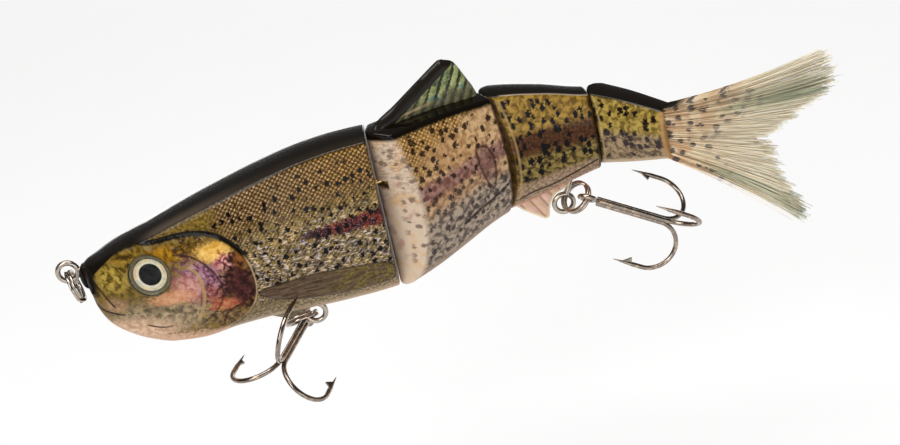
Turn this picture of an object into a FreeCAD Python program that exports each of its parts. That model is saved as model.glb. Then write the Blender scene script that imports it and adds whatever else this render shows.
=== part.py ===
import FreeCAD, Part
import math
import os

import Sketcher
from FreeCAD import Placement, Rotation, Vector

# A four-section jointed swimbait, in millimetres.
# Origin: centre of the line-tie eye at the nose. +X runs to the tail, +Z to the back.
# Section 1 lies along X. Each later section is built straight and then turned about its hinge pin.

doc = FreeCAD.newDocument("swimbait")
sheet = doc.addObject("Spreadsheet::Sheet", "Sizes")

SIZES = {
    # hinge pins: places along the straightened body, and how far each joint is turned at rest
    "pin_1_x": 69.2,
    "pin_2_x": 96.8,
    "pin_3_x": 119.2,
    "yaw_1": 29,
    "yaw_2": -24,
    "yaw_3": -41,
    "rear_gap": 3.0,
    "nose_radius": 2.85,
    "sweep_1": 32,
    "sweep_2": 37,
    "sweep_3": 43,
    "wall": 1.6,
    "end_wall": 5.0,
    "pin_radius": 0.75,
    "pin_overrun": 7.0,
    "eye_wire": 0.6,
    "eye_mean": 1.45,
    "eye_reach": 6.6,
    "eye_head_radius": 1.26,
    "eye_head_length": 0.9,
    "slot_half_height": 0.9,
    "slot_radius": 2.35,
    "eye_height_1": 5.3,
    "eye_height_2": 3.0,
    "eye_height_3": 0.6,
    # head end and tail end of the hard body
    "nose_x": 3.4,
    "tail_x": 134.4,
    # wire eyes for the line and the hooks
    "loop_wire": 0.575,
    "loop_mean": 2.075,
    "front_hanger_x": 47.5,
    "front_hanger_z": -21.15,
    "rear_hanger_x": 107.1,
    "rear_hanger_z": -15.4,
    "hanger_stem": 9.0,
    "rear_stem_along": 3.4,
    "rear_stem_up": 7.6,
    "stem_head_radius": 1.265,
    "stem_head_length": 1.0,
    "keel_half_width": 0.9,
    # split rings
    "split_mean": 3.3,
    "split_width": 0.85,
    "split_height": 1.5,
    "split_notch": 0.16,
    # treble hooks
    "hook_wire": 0.52,
    "hook_length": 23.3,
    "hook_gape": 11.6,
    "hook_point_height": 10.9,
    "hook_point_length": 4.6,
    "hook_tip_radius": 0.06,
    "barb_thickness": 0.36,
    "barb_length": 1.35,
    "hook_eye_mean": 1.65,
    "single_offset": 0.63,
    "double_offset": 0.58,
    # 3-D eyes
    "eyeball_x": 17.3,
    "eyeball_y": 6.5,
    "eyeball_z": -1.5,
    "eyeball_radius": 4.4,
    "iris_thickness": 0.7,
    "dome_height": 1.5,
    "socket_depth": 1.6,
    "eyeball_yaw": 11,
    "eyeball_pitch": 6,
    # fins
    "dorsal_thickness": 2.6,
    "dorsal_root_front": 68.2,
    "dorsal_root_rear": 92.4,
    "dorsal_root_z": 12.6,
    "dorsal_lead_x": 85.6,
    "dorsal_lead_z": 25.2,
    "dorsal_trail_x": 89.2,
    "dorsal_trail_z": 23.4,
    "dorsal_bevel": 0.9,
    "anal_thickness": 1.8,
    "anal_front_x": 97.6,
    "anal_front_z": -11.0,
    "anal_tip_x": 102.9,
    "anal_tip_z": -17.8,
    "anal_mid_x": 105.8,
    "anal_mid_z": -14.6,
    "anal_notch": 3.0,
    # lead weights
    "front_weight_x": 26.0,
    "front_weight_length": 13.0,
    "front_weight_radius": 3.6,
    "second_weight_x": 78.5,
    "second_weight_length": 7.0,
    "second_weight_radius": 2.6,
    "third_weight_x": 105.0,
    "third_weight_length": 4.4,
    "third_weight_radius": 1.7,
    "front_weight_lift": 2.2,
    "second_weight_lift": 1.9,
    "third_weight_lift": 3.4,
    # brush tail
    "plug_length": 6.5,
    "plug_half_width": 1.5,
    "plug_half_height": 4.2,
    "plug_middle_z": -0.5,
    "brush_thickness": 2.4,
    "brush_tip_thickness": 0.9,
    "front_eye_twist": -6.7,
    "rear_eye_twist": -30,
}

# How the hanging hardware lies at rest. Rings: centre, a direction across the ring, and its axis.
# Trebles: centre of the eye, the way the single hook points out, and the way the shank runs.
HARDWARE = {
    "line_ring_centre": (0.90, -1.26, -2.91),
    "line_ring_across": (0.27, -0.38, -0.88),
    "line_ring_axis": (0.965, 0.131, 0.226),
    "front_ring_centre": (44.28, 0.07, -21.89),
    "front_ring_across": (0.975, -0.021, 0.223),
    "front_ring_axis": (-0.182, 0.509, 0.842),
    "rear_ring_centre": (106.32, 12.94, -14.04),
    "rear_ring_across": (1.0, 0.0, 0.76),
    "rear_ring_axis": (0.558, 0.392, -0.732),
    "front_treble_eye": (45.20, 2.86, -23.38),
    "front_treble_out": (-0.94, 0.284, -0.188),
    "front_treble_shank": (-0.294, -0.955, 0.026),
    "rear_treble_eye": (108.53, 10.53, -13.64),
    "rear_treble_out": (0.177, 0.893, 0.414),
    "rear_treble_shank": (0.839, 0.082, -0.537),
}

# The hard body along its length: x, back height, belly depth, greatest half width, half width of the back.
STATIONS = [
    (3.4, 1.0, -4.6, 1.7, 1.1),
    (4.3, 1.5, -9.6, 3.2, 2.1),
    (6.0, 2.1, -13.2, 4.4, 2.9),
    (9.0, 3.4, -16.0, 5.5, 3.7),
    (13.0, 4.9, -18.4, 6.5, 4.4),
    (18.0, 6.3, -20.1, 7.4, 5.1),
    (24.0, 8.4, -20.5, 8.2, 5.6),
    (32.0, 10.9, -19.4, 8.8, 5.9),
    (42.0, 13.7, -18.9, 8.9, 5.9),
    (52.0, 15.9, -19.1, 8.5, 5.6),
    (60.0, 16.8, -18.9, 8.0, 5.2),
    (66.2, 17.0, -18.4, 7.6, 4.9),
    (74.0, 16.8, -17.4, 7.3, 4.6),
    (82.0, 16.3, -15.6, 7.0, 4.3),
    (90.0, 15.2, -13.7, 6.6, 3.9),
    (98.0, 14.2, -12.7, 6.1, 3.6),
    (107.0, 12.1, -10.8, 5.5, 3.3),
    (116.2, 9.2, -8.9, 4.9, 2.9),
    (125.0, 7.6, -7.9, 4.1, 2.5),
    (134.4, 5.2, -6.5, 3.0, 2.0),
]

# The free edge of the brush tail, from its upper root round to its lower root: x and z.
BRUSH_EDGE = [
    (134.4, 5.6), (141.0, 9.0), (172.8, 19.0), (167.8, 8.4), (160.1, 2.4), (156.9, -0.1),
    (157.8, -4.6), (161.3, -14.6), (163.2, -18.4), (141.0, -9.6), (134.4, -6.4),
]


def fill_sheet():
    """Write every driving size to the spreadsheet with its own alias."""
    rows = dict(SIZES)
    for number, station in enumerate(STATIONS, 1):
        for word, value in zip(("along", "back", "belly", "half", "shoulder"), station):
            rows["station_%s_%d" % (word, number)] = value
    for number, (along, height) in enumerate(BRUSH_EDGE, 1):
        rows["brush_along_%d" % number] = along
        rows["brush_height_%d" % number] = height
    for name, vector in HARDWARE.items():
        for letter, value in zip("xyz", vector):
            rows["%s_%s" % (name, letter)] = value
    for row, (name, value) in enumerate(rows.items(), 1):
        sheet.set("A%d" % row, name)
        sheet.set("B%d" % row, str(value))
        sheet.setAlias("B%d" % row, name)
    doc.recompute()


def size(name):
    return float(sheet.get(name))


def vector(name):
    return Vector(*(size("%s_%s" % (name, letter)) for letter in "xyz"))


def cell(name):
    return "Sizes." + name


fill_sheet()


# ---------------------------------------------------------------- shared geometry

def outline_value(word, along):
    """A smooth curve through the stations: height or half width of the body at a place along it."""
    count = len(STATIONS)
    xs = [size("station_along_%d" % n) for n in range(1, count + 1)]
    ys = [size("station_%s_%d" % (word, n)) for n in range(1, count + 1)]
    last = count - 2
    spot = next((n for n in range(last) if along <= xs[n + 1]), last)

    def slope(n):
        if n in (0, count - 1):
            near = 1 if n == 0 else count - 1
            return (ys[near] - ys[near - 1]) / (xs[near] - xs[near - 1])
        before = (ys[n] - ys[n - 1]) / (xs[n] - xs[n - 1])
        after = (ys[n + 1] - ys[n]) / (xs[n + 1] - xs[n])
        if before * after <= 0:
            return 0.0
        return 2 * before * after / (before + after)

    span = xs[spot + 1] - xs[spot]
    t = (along - xs[spot]) / span
    return (
        ys[spot] * (2 * t**3 - 3 * t**2 + 1)
        + slope(spot) * span * (t**3 - 2 * t**2 + t)
        + ys[spot + 1] * (3 * t**2 - 2 * t**3)
        + slope(spot + 1) * span * (t**3 - t**2)
    )


def half_section(along, inset=0.0):
    """Left half of the cross-section: a crowned back, a crisp shoulder, and a full flank to the keel."""
    back = outline_value("back", along) - inset
    belly = outline_value("belly", along) + inset
    half = outline_value("half", along) - inset
    shoulder = outline_value("shoulder", along) - 0.8 * inset
    crown = 0.11 * shoulder
    widest = belly + 0.5 * (back - belly)
    top = Vector(along, 0, back)
    edge = Vector(along, -shoulder, back - crown)
    flank = [edge]
    for t in (0.3, 0.65, 1.0):
        y = shoulder + (half - shoulder) * math.sin(t * math.pi / 2)
        flank.append(Vector(along, -y, edge.z + (widest - edge.z) * t))
    for turn in (30, 55, 75, 90):
        angle = math.radians(turn)
        y = half * max(math.cos(angle), 0.0) ** 0.85
        flank.append(Vector(along, -y, widest - (widest - belly) * math.sin(angle)))
    curve = Part.BSplineCurve()
    curve.interpolate(flank)
    middle = Vector(along, -0.55 * shoulder, back - 0.28 * crown)
    return Part.Wire([
        Part.LineSegment(flank[-1], top).toShape(),
        Part.Arc(top, middle, edge).toShape(),
        curve.toShape(),
    ])


def half_body(start, end, inset=0.0):
    """Left half of the body between two places along it, as one solid."""
    inner = [x for x, *_ in STATIONS if start + 1.2 < x < end - 1.2]
    places = [start] + inner + [end]
    return Part.makeLoft([half_section(x, inset) for x in places], True, False)


def wedge_prism(pin_x, sweep, rear):
    """Left half of the plan shape of a section: a round nose about its pin, with a swept-back face."""
    radius = size("nose_radius")
    lean = math.radians(sweep)
    front = Vector(pin_x - radius, 0, -40)
    touch = Vector(pin_x - radius * math.cos(lean), -radius * math.sin(lean), -40)
    half = lean / 2
    middle = Vector(pin_x - radius * math.cos(half), -radius * math.sin(half), -40)
    reach = 22.0
    far = touch + Vector(reach * math.sin(lean), -reach * math.cos(lean), 0)
    corner = Vector(rear + reach, far.y, -40)
    close = Vector(rear + reach, 0, -40)
    edges = [Part.Arc(front, middle, touch).toShape()]
    for a, b in ((touch, far), (far, corner), (corner, close), (close, front)):
        edges.append(Part.LineSegment(a, b).toShape())
    return Part.Face(Part.Wire(edges)).extrude(Vector(0, 0, 80))


def slot_tool(pin_x, sweep, height):
    """The horizontal slot in a section's nose that lets a hinge eye in and lets it swing."""
    radius = size("slot_radius")
    deep = size("slot_half_height")
    base = Vector(pin_x, 0, height - deep)
    disc = Part.makeCylinder(radius, 2 * deep, base)
    arm = Part.makeBox(8, 2 * radius, 2 * deep, base + Vector(-8, -radius, 0))
    tool = disc.fuse(arm)
    for turn in (-sweep, -sweep / 2, sweep / 2, sweep):
        swung = arm.copy()
        swung.rotate(Vector(pin_x, 0, 0), Vector(0, 0, 1), turn)
        tool = tool.fuse(swung)
    return tool


def mirrored(shape):
    return shape.mirror(Vector(0, 0, 0), Vector(0, 1, 0))


def section_placement(section):
    """Where a straight section goes: turned about every hinge pin ahead of it."""
    place = Placement()
    for number in range(1, section):
        pin = Vector(size("pin_%d_x" % number), 0, 0)
        turn = Rotation(Vector(0, 0, 1), size("yaw_%d" % number))
        place = place.multiply(Placement(Vector(0, 0, 0), turn, pin))
    return place


def feature(name, shape, placement=None):
    """A free-form piece, with the shape made by Part's own functions."""
    obj = doc.addObject("Part::Feature", name)
    obj.Label = name
    obj.Shape = shape
    if placement:
        obj.Placement = placement
    return obj


def solid_of(shape):
    """The one solid that a boolean leaves, without any crumbs."""
    return max(shape.Solids, key=lambda s: s.Volume)


def origin_plane(body, role):
    return next(f for f in body.Origin.OriginFeatures if f.Role == role)


def new_sketch(body, name, role):
    sketch = body.newObject("Sketcher::SketchObject", name)
    sketch.AttachmentSupport = [(origin_plane(body, role), "")]
    sketch.MapMode = "FlatFace"
    return sketch


def bound_polygon(sketch, corners):
    """A closed outline whose every corner is tied to two cells of the sheet, given as (x, z) expressions."""
    spots = [tuple(float(sheet.evalExpression(e)) for e in corner) for corner in corners]
    count = len(spots)
    for n in range(count):
        a, b = spots[n], spots[(n + 1) % count]
        sketch.addGeometry(Part.LineSegment(Vector(a[0], a[1], 0), Vector(b[0], b[1], 0)))
    for n in range(count):
        sketch.addConstraint(Sketcher.Constraint("Coincident", n, 2, (n + 1) % count, 1))
    for n, corner in enumerate(corners):
        for kind, expression, value in zip(("DistanceX", "DistanceY"), corner, spots[n]):
            place = sketch.addConstraint(Sketcher.Constraint(kind, -1, 1, n, 1, value))
            sketch.setExpression("Constraints[%d]" % place, expression)


# ---------------------------------------------------------------- wires, pins and hinge eyes

def hinge_eye(number):
    """A wire eye held in the rear wall of a section, round the next section's pin."""
    pin = Vector(size("pin_%d_x" % number), 0, size("eye_height_%d" % number))
    wire = size("eye_wire")
    mean = size("eye_mean")
    loop = Part.makeTorus(mean, wire, pin, Vector(0, 0, 1))
    stem = Part.makeCylinder(wire, size("eye_reach") - mean, pin - Vector(mean, 0, 0), Vector(-1, 0, 0))
    foot = pin - Vector(size("eye_reach"), 0, 0)
    head = Part.makeCylinder(size("eye_head_radius"), size("eye_head_length"), foot, Vector(-1, 0, 0))
    solid = solid_of(loop.fuse(stem).fuse(head))
    return feature("joint_%d_eye" % number, solid, section_placement(number))


def hinge_pin(number):
    """A straight stainless pin, trapped between the two halves of a section's nose."""
    pin = doc.addObject("Part::Cylinder", "hinge_pin_%d" % number)
    pin.Label = pin.Name
    pin.setExpression("Radius", cell("pin_radius"))
    pin.setExpression("Height", "2 * " + cell("pin_overrun"))
    foot = size("eye_height_%d" % number) - size("pin_overrun")
    base = Vector(size("pin_%d_x" % number), 0, foot)
    pin.Placement = section_placement(number + 1).multiply(Placement(base, Rotation()))
    return pin


def wire_loop(name, centre, stem_end, placement=None):
    """A wire eye standing in the middle plane, with a stem that is held in the plastic."""
    wire = size("loop_wire")
    mean = size("loop_mean")
    loop = Part.makeTorus(mean, wire, centre, Vector(0, 1, 0))
    run = stem_end - centre
    along = Vector(run).normalize()
    stem = Part.makeCylinder(wire, run.Length - mean, centre + along * mean, along)
    head = Part.makeCylinder(size("stem_head_radius"), size("stem_head_length"), stem_end, along)
    return feature(name, solid_of(loop.fuse(stem).fuse(head)), placement)


# ---------------------------------------------------------------- the hard body

def eyeball_placement(side):
    """Centre and outward direction of a 3-D eye. side is -1 on the left, +1 on the right."""
    spot = Vector(size("eyeball_x"), side * size("eyeball_y"), size("eyeball_z"))
    yaw = math.radians(size("eyeball_yaw"))
    pitch = math.radians(size("eyeball_pitch"))
    outward = Vector(-math.sin(yaw), side * math.cos(yaw) * math.cos(pitch), math.sin(pitch))
    return Placement(spot, Rotation(Vector(0, 0, 1), outward))


def eye_socket():
    """The round recess for the left eye."""
    socket = Part.makeCylinder(size("eyeball_radius") + 0.05, 12, Vector(0, 0, -size("iris_thickness")))
    socket.Placement = eyeball_placement(-1)
    return socket


def shell_pair(words, section, half, cutters):
    """The two moulded halves of a section. Each is cut by the metal that they hold between them."""
    for side in ("left", "right"):
        shape = half.copy()
        if side == "right":
            shape = mirrored(shape)
        for cutter in cutters:
            shape = shape.cut(cutter)
        feature("%s_shell_%s" % (words, side), solid_of(shape), section_placement(section))


def hollow(half, start, end):
    """Take out the air chamber, which is the body's own shape set in by the wall."""
    return half.cut(half_body(start, end, size("wall")))


def cavity_end(number):
    return size("pin_%d_x" % number) - size("rear_gap") - size("end_wall")


def cavity_start(number):
    return size("pin_%d_x" % number) + 6.0


def hanger_boss():
    """The small keel under the belly that the front hook hanger stands in."""
    x = size("front_hanger_x")
    z = size("front_hanger_z")
    points = [
        Vector(x - 12.0, 0, z + 3.0), Vector(x - 5.2, 0, z - 0.1),
        Vector(x - 2.9, 0, z + 0.5), Vector(x + 1.0, 0, z + 3.0), Vector(x - 12.0, 0, z + 3.0),
    ]
    keel = Part.Face(Part.makePolygon(points))
    return keel.extrude(Vector(0, -size("keel_half_width"), 0))


def front_section():
    rear = size("pin_1_x") - size("rear_gap")
    half = half_body(size("nose_x"), rear).fuse(hanger_boss())
    half = hollow(half, size("nose_x") + 7.5, cavity_end(1))
    half = solid_of(half.cut(eye_socket()))
    line_tie = wire_loop("line_tie_wire", Vector(0, 0, 0), Vector(size("hanger_stem"), 0, 0))
    hanger_at = Vector(size("front_hanger_x"), 0, size("front_hanger_z"))
    backing = Part.makeBox(7, 2.6, 9, hanger_at + Vector(-3.5, -2.6, 2.0))
    half = half.fuse(backing.common(half_body(40, 56, 0.4)))
    hanger = wire_loop("front_hanger_wire", hanger_at, hanger_at + Vector(0, 0, size("hanger_stem")))
    eye = hinge_eye(1)
    weight = belly_weight("front", 1)
    cutters = [line_tie.Shape, hanger.Shape, weight, eye.Shape]
    shell_pair("front", 1, half, cutters)


def straight_shape(obj, section):
    """A placed piece's shape taken back to the straightened body, to cut the shells with."""
    shape = obj.Shape.copy()
    shape.Placement = section_placement(section).inverse().multiply(obj.Placement)
    return shape


def middle_section(words, section, extra):
    """Section 2 or 3: a swept nose on its pin, an air chamber, and a hinge eye at its rear."""
    ahead = section - 1
    pin_x = size("pin_%d_x" % ahead)
    rear = size("pin_%d_x" % section) - size("rear_gap")
    sweep = size("sweep_%d" % ahead)
    half = half_body(pin_x - size("nose_radius") - 0.2, rear).common(wedge_prism(pin_x, sweep, rear))
    half = solid_of(hollow(half, cavity_start(ahead), cavity_end(section)))
    pin = hinge_pin(ahead)
    doc.recompute()
    cutters = [slot_tool(pin_x, sweep, size("eye_height_%d" % ahead))]
    cutters += [straight_shape(obj, section) for obj in (pin, hinge_eye(section))]
    shell_pair(words, section, half, cutters + extra)


def tail_section(extra):
    pin_x = size("pin_3_x")
    sweep = size("sweep_3")
    rear = size("tail_x")
    half = half_body(pin_x - size("nose_radius") - 0.2, rear).common(wedge_prism(pin_x, sweep, rear))
    half = solid_of(hollow(half, pin_x + 4.5, rear - size("plug_length") - 1.2))
    pin = hinge_pin(3)
    doc.recompute()
    cutters = [slot_tool(pin_x, sweep, size("eye_height_3"))]
    shell_pair("tail", 4, half, cutters + [straight_shape(pin, 4)] + extra)


# ---------------------------------------------------------------- fins, weights, eyes

def dorsal_fin():
    """A plate fin standing in the back of section 2, bevelled all round its free edge."""
    body = doc.addObject("PartDesign::Body", "dorsal_fin")
    sketch = new_sketch(body, "dorsal_outline", "XZ_Plane")
    bound_polygon(sketch, [
        (cell("dorsal_root_front"), cell("dorsal_root_z")),
        (cell("dorsal_root_rear"), cell("dorsal_root_z")),
        (cell("dorsal_root_rear") + " + 0.4", cell("dorsal_root_z") + " + 3.2"),
        (cell("dorsal_trail_x"), cell("dorsal_trail_z")),
        (cell("dorsal_lead_x") + " + 1.6", cell("dorsal_lead_z") + " - 0.2"),
        (cell("dorsal_lead_x"), cell("dorsal_lead_z")),
        (cell("dorsal_root_front"), cell("dorsal_root_z") + " + 5.0"),
    ])
    pad = body.newObject("PartDesign::Pad", "dorsal_pad")
    pad.Profile = sketch
    pad.Midplane = True
    pad.setExpression("Length", cell("dorsal_thickness"))
    doc.recompute()
    edges = []
    for number, edge in enumerate(pad.Shape.Edges, 1):
        centre = edge.CenterOfMass
        side = abs(abs(centre.y) - size("dorsal_thickness") / 2) < 1e-6
        if side and centre.z > size("dorsal_root_z") + 5.2 and centre.x < size("dorsal_trail_x"):
            edges.append("Edge%d" % number)
    bevel = body.newObject("PartDesign::Chamfer", "dorsal_chamfer")
    bevel.Base = (pad, edges)
    bevel.setExpression("Size", cell("dorsal_bevel"))
    body.Placement = section_placement(2)
    return body


def round_notch(body, centre, radius, thickness):
    """Cut a round clearance through a plate fin, about a wire eye beside it."""
    sketch = new_sketch(body, body.Name + "_notch", "XZ_Plane")
    middle = Vector(size(centre + "_x"), size(centre + "_z"), 0)
    ring = sketch.addGeometry(Part.Circle(middle, Vector(0, 0, 1), size(radius)))
    for kind, word, value in (("DistanceX", "_x", middle.x), ("DistanceY", "_z", middle.y)):
        place = sketch.addConstraint(Sketcher.Constraint(kind, -1, 1, ring, 3, value))
        sketch.setExpression("Constraints[%d]" % place, cell(centre + word))
    place = sketch.addConstraint(Sketcher.Constraint("Radius", ring, size(radius)))
    sketch.setExpression("Constraints[%d]" % place, cell(radius))
    pocket = body.newObject("PartDesign::Pocket", body.Name + "_pocket")
    pocket.Profile = sketch
    pocket.Midplane = True
    pocket.Length = 4 * thickness
    before = body.Shape.Volume
    doc.recompute()
    if body.Shape.Volume >= before:
        raise SystemExit("the notch cuts nothing: " + body.Name)


def anal_fin():
    """A thin plate fin under section 3, notched round the eye of the rear hook hanger."""
    body = doc.addObject("PartDesign::Body", "anal_fin")
    sketch = new_sketch(body, "anal_outline", "XZ_Plane")
    bound_polygon(sketch, [
        (cell("anal_front_x"), cell("anal_front_z")),
        (cell("anal_front_x") + " - 0.8", cell("anal_front_z") + " - 2.4"),
        (cell("anal_tip_x"), cell("anal_tip_z")),
        (cell("anal_mid_x"), cell("anal_mid_z")),
        (cell("anal_mid_x") + " + 1.8", cell("anal_front_z") + " - 0.4"),
        (cell("anal_mid_x") + " + 2.0", cell("anal_front_z") + " + 1.6"),
    ])
    pad = body.newObject("PartDesign::Pad", "anal_pad")
    pad.Profile = sketch
    pad.Midplane = True
    pad.setExpression("Length", cell("anal_thickness"))
    doc.recompute()
    round_notch(body, "rear_hanger", "anal_notch", size("anal_thickness"))
    body.Placement = section_placement(3)
    doc.recompute()
    return body


def belly_weight(words, section):
    """A short round lead bar lying along the belly of a section. Returns its shape, straightened."""
    name = words + "_belly_weight"
    bar = doc.addObject("Part::Cylinder", name)
    bar.Label = name
    bar.setExpression("Radius", cell(words + "_weight_radius"))
    bar.setExpression("Height", cell(words + "_weight_length"))
    along = size(words + "_weight_x")
    half_long = size(words + "_weight_length") / 2
    floor = max(outline_value("belly", along - half_long), outline_value("belly", along + half_long))
    lift = size(words + "_weight_lift")
    base = Vector(along - half_long, 0, floor + size(words + "_weight_radius") + lift)
    turn = Rotation(Vector(0, 1, 0), 90)
    bar.Placement = section_placement(section).multiply(Placement(base, turn))
    doc.recompute()
    return straight_shape(bar, section)


def eyeballs():
    """Each 3-D eye is a foil iris disc under a clear domed lens."""
    for side, words in ((-1, "left"), (1, "right")):
        iris = doc.addObject("Part::Cylinder", "eye_iris_" + words)
        iris.Label = iris.Name
        iris.setExpression("Radius", cell("eyeball_radius"))
        iris.setExpression("Height", cell("iris_thickness"))
        place = eyeball_placement(side)
        iris.Placement = place.multiply(Placement(Vector(0, 0, -size("iris_thickness")), Rotation()))
        dome = doc.addObject("PartDesign::Body", "eye_dome_" + words)
        profile = new_sketch(dome, "dome_profile_" + words, "XZ_Plane")
        radius = size("eyeball_radius")
        height = size("dome_height")
        skirt = 0.35 * height
        rise = height - skirt
        bulge = (rise * rise + radius * radius) / (2 * rise)
        half_turn = math.asin(radius / bulge) / 2
        arc_mid = Vector(bulge * math.sin(half_turn), height - bulge + bulge * math.cos(half_turn), 0)
        foot = Vector(0, 0, 0)
        rim = Vector(radius, 0, 0)
        lip = Vector(radius, skirt, 0)
        crown = Vector(0, height, 0)
        profile.addGeometry(Part.LineSegment(foot, rim))
        profile.addGeometry(Part.LineSegment(rim, lip))
        profile.addGeometry(Part.Arc(lip, arc_mid, crown))
        profile.addGeometry(Part.LineSegment(crown, foot))
        turn = dome.newObject("PartDesign::Revolution", "dome_turn_" + words)
        turn.Profile = profile
        turn.ReferenceAxis = (profile, ["V_Axis"])
        turn.Angle = 360
        dome.Placement = place
    doc.recompute()


# ---------------------------------------------------------------- tail

def brush_plug():
    """The moulded clamp inside the tail section that holds the roots of the bristles."""
    plug = doc.addObject("Part::Box", "tail_brush_plug")
    plug.Label = plug.Name
    plug.setExpression("Length", cell("plug_length"))
    plug.setExpression("Width", "2 * " + cell("plug_half_width"))
    plug.setExpression("Height", "2 * " + cell("plug_half_height"))
    start = size("tail_x") - size("plug_length")
    low = size("plug_middle_z") - size("plug_half_height")
    corner = Vector(start, -size("plug_half_width"), low)
    plug.Placement = section_placement(4).multiply(Placement(corner, Rotation()))
    doc.recompute()
    return straight_shape(plug, 4)


def tail_brush():
    """The fan of bristles as one soft plate that thins towards its ragged edge."""
    count = len(BRUSH_EDGE)
    spots = [(size("brush_along_%d" % n), size("brush_height_%d" % n)) for n in range(1, count + 1)]
    thick = size("brush_thickness") / 2
    thin = size("brush_tip_thickness") / 2
    outline = [Vector(x, thick, z) for x, z in spots]
    plate = Part.Face(Part.makePolygon(outline + [outline[0]])).extrude(Vector(0, -2 * thick, 0))
    start, end = size("tail_x"), max(x for x, z in spots)
    taper = [
        Vector(start, -thick, -30), Vector(start, thick, -30),
        Vector(end, thin, -30), Vector(end, -thin, -30), Vector(start, -thick, -30),
    ]
    prism = Part.Face(Part.makePolygon(taper)).extrude(Vector(0, 0, 60))
    return feature("tail_brush", solid_of(plate.common(prism)), section_placement(4))


# ---------------------------------------------------------------- split rings and treble hooks

def frame_placement(origin, x_axis, z_axis):
    """A placement whose own X and Z axes point along two directions, made square to each other."""
    up = Vector(z_axis).normalize()
    across = (Vector(x_axis) - up * Vector(x_axis).dot(up)).normalize()
    side = up.cross(across)
    return Placement(origin, Rotation(across, side, up, "ZXY"))


def split_ring(name, placement):
    """A double-coil ring of flat wire: two turns, with the groove between them inside and out."""
    body = doc.addObject("PartDesign::Body", name)
    sketch = new_sketch(body, name + "_section", "XZ_Plane")
    inner = "(%s - %s / 2)" % (cell("split_mean"), cell("split_width"))
    outer = "(%s + %s / 2)" % (cell("split_mean"), cell("split_width"))
    high = "%s / 2" % cell("split_height")
    notch = cell("split_notch")
    bound_polygon(sketch, [
        (inner, "-" + high), (outer, "-" + high), (outer, "-%s / 2" % notch),
        (outer + " - " + notch, "0"), (outer, notch + " / 2"), (outer, high),
        (inner, high), (inner, notch + " / 2"), (inner + " + " + notch, "0"), (inner, "-%s / 2" % notch),
    ])
    ring = body.newObject("PartDesign::Revolution", name + "_turn")
    ring.Profile = sketch
    ring.ReferenceAxis = (sketch, ["V_Axis"])
    ring.Angle = 360
    body.Placement = placement
    doc.recompute()
    return body


def hook_arm(turn, offset):
    """One hook of a treble, hanging along -Z: shank, round bend, upright, and a barbed cone point."""
    wire = size("hook_wire")
    gape = size("hook_gape")
    bend = (gape - offset) / 2
    low = -size("hook_length") + bend
    tip = -size("hook_point_height")
    shoulder = tip - size("hook_point_length")
    top = Vector(offset, 0, -2.4)
    turn_in = Vector(offset, 0, low)
    turn_mid = Vector(offset + bend, 0, low - bend)
    turn_out = Vector(gape, 0, low)
    spine = Part.Wire([
        Part.LineSegment(top, turn_in).toShape(),
        Part.Arc(turn_in, turn_mid, turn_out).toShape(),
        Part.LineSegment(turn_out, Vector(gape, 0, shoulder)).toShape(),
    ])
    profile = Part.Wire(Part.makeCircle(wire, top, Vector(0, 0, -1)))
    arm = spine.makePipeShell([profile], True, False)
    point_base = Vector(gape, 0, shoulder)
    point = Part.makeCone(wire, size("hook_tip_radius"), size("hook_point_length"), point_base)
    thick = size("barb_thickness")
    root = Vector(gape - 0.15, -thick / 2, shoulder - 0.2)
    high = root + Vector(0, 0, 2.6)
    low_corner = root + Vector(0, 0, 0.4)
    spur = root + Vector(-size("barb_length"), 0, 0.9)
    barb = Part.Face(Part.makePolygon([high, spur, low_corner, high])).extrude(Vector(0, thick, 0))
    arm = arm.fuse(point).fuse(barb)
    arm.rotate(Vector(0, 0, 0), Vector(0, 0, 1), turn)
    return arm


def treble(words):
    """A treble hook: one wire bent to an eye and two hooks, with a third hook brazed between them."""
    wire = size("hook_wire")
    mean = size("hook_eye_mean")
    loop = Part.makeTorus(mean, wire, Vector(0, 0, 0), Vector(1, 0, 0))
    loop.rotate(Vector(0, 0, 0), Vector(0, 0, 1), size(words + "_eye_twist"))
    single = hook_arm(0, size("single_offset"))
    neck = Part.makeCylinder(wire * 0.9, 1.6, Vector(0, 0, -3.4)).cut(single)
    arms = hook_arm(120, size("double_offset")).fuse(hook_arm(240, size("double_offset")))
    double = arms.fuse(neck).fuse(loop)
    shank = vector(words + "_treble_shank")
    place = frame_placement(vector(words + "_treble_eye"), vector(words + "_treble_out"), shank * -1)
    for name, shape in (("double", double), ("single", single)):
        feature("%s_treble_%s_hook" % (words, name), solid_of(shape), place)


def hanging_hardware():
    """The split rings and trebles, where they lie at rest."""
    names = {"line": "line_tie_split_ring", "front": "front_split_ring", "rear": "rear_split_ring"}
    for words, name in names.items():
        place = [vector("%s_ring_%s" % (words, part)) for part in ("centre", "across", "axis")]
        split_ring(name, frame_placement(*place))
    for words in ("front", "rear"):
        treble(words)


# ---------------------------------------------------------------- build

eyeballs()
front_section()
fin = dorsal_fin()
second_extra = [straight_shape(fin, 2), belly_weight("second", 2)]
middle_section("second", 2, second_extra)
fin = anal_fin()
hanger_at = Vector(size("rear_hanger_x"), 0, size("rear_hanger_z"))
stem_end = hanger_at + Vector(size("rear_stem_along"), 0, size("rear_stem_up"))
rear_hanger = wire_loop("rear_hanger_wire", hanger_at, stem_end, section_placement(3))
third_extra = [straight_shape(fin, 3), straight_shape(rear_hanger, 3), belly_weight("third", 3)]
middle_section("third", 3, third_extra)
tail_section([brush_plug()])
tail_brush()
hanging_hardware()
doc.recompute()

for obj in doc.Objects:
    if any(word in obj.State for word in ("Invalid", "Error")):
        raise SystemExit("failed object: " + obj.Name)

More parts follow.
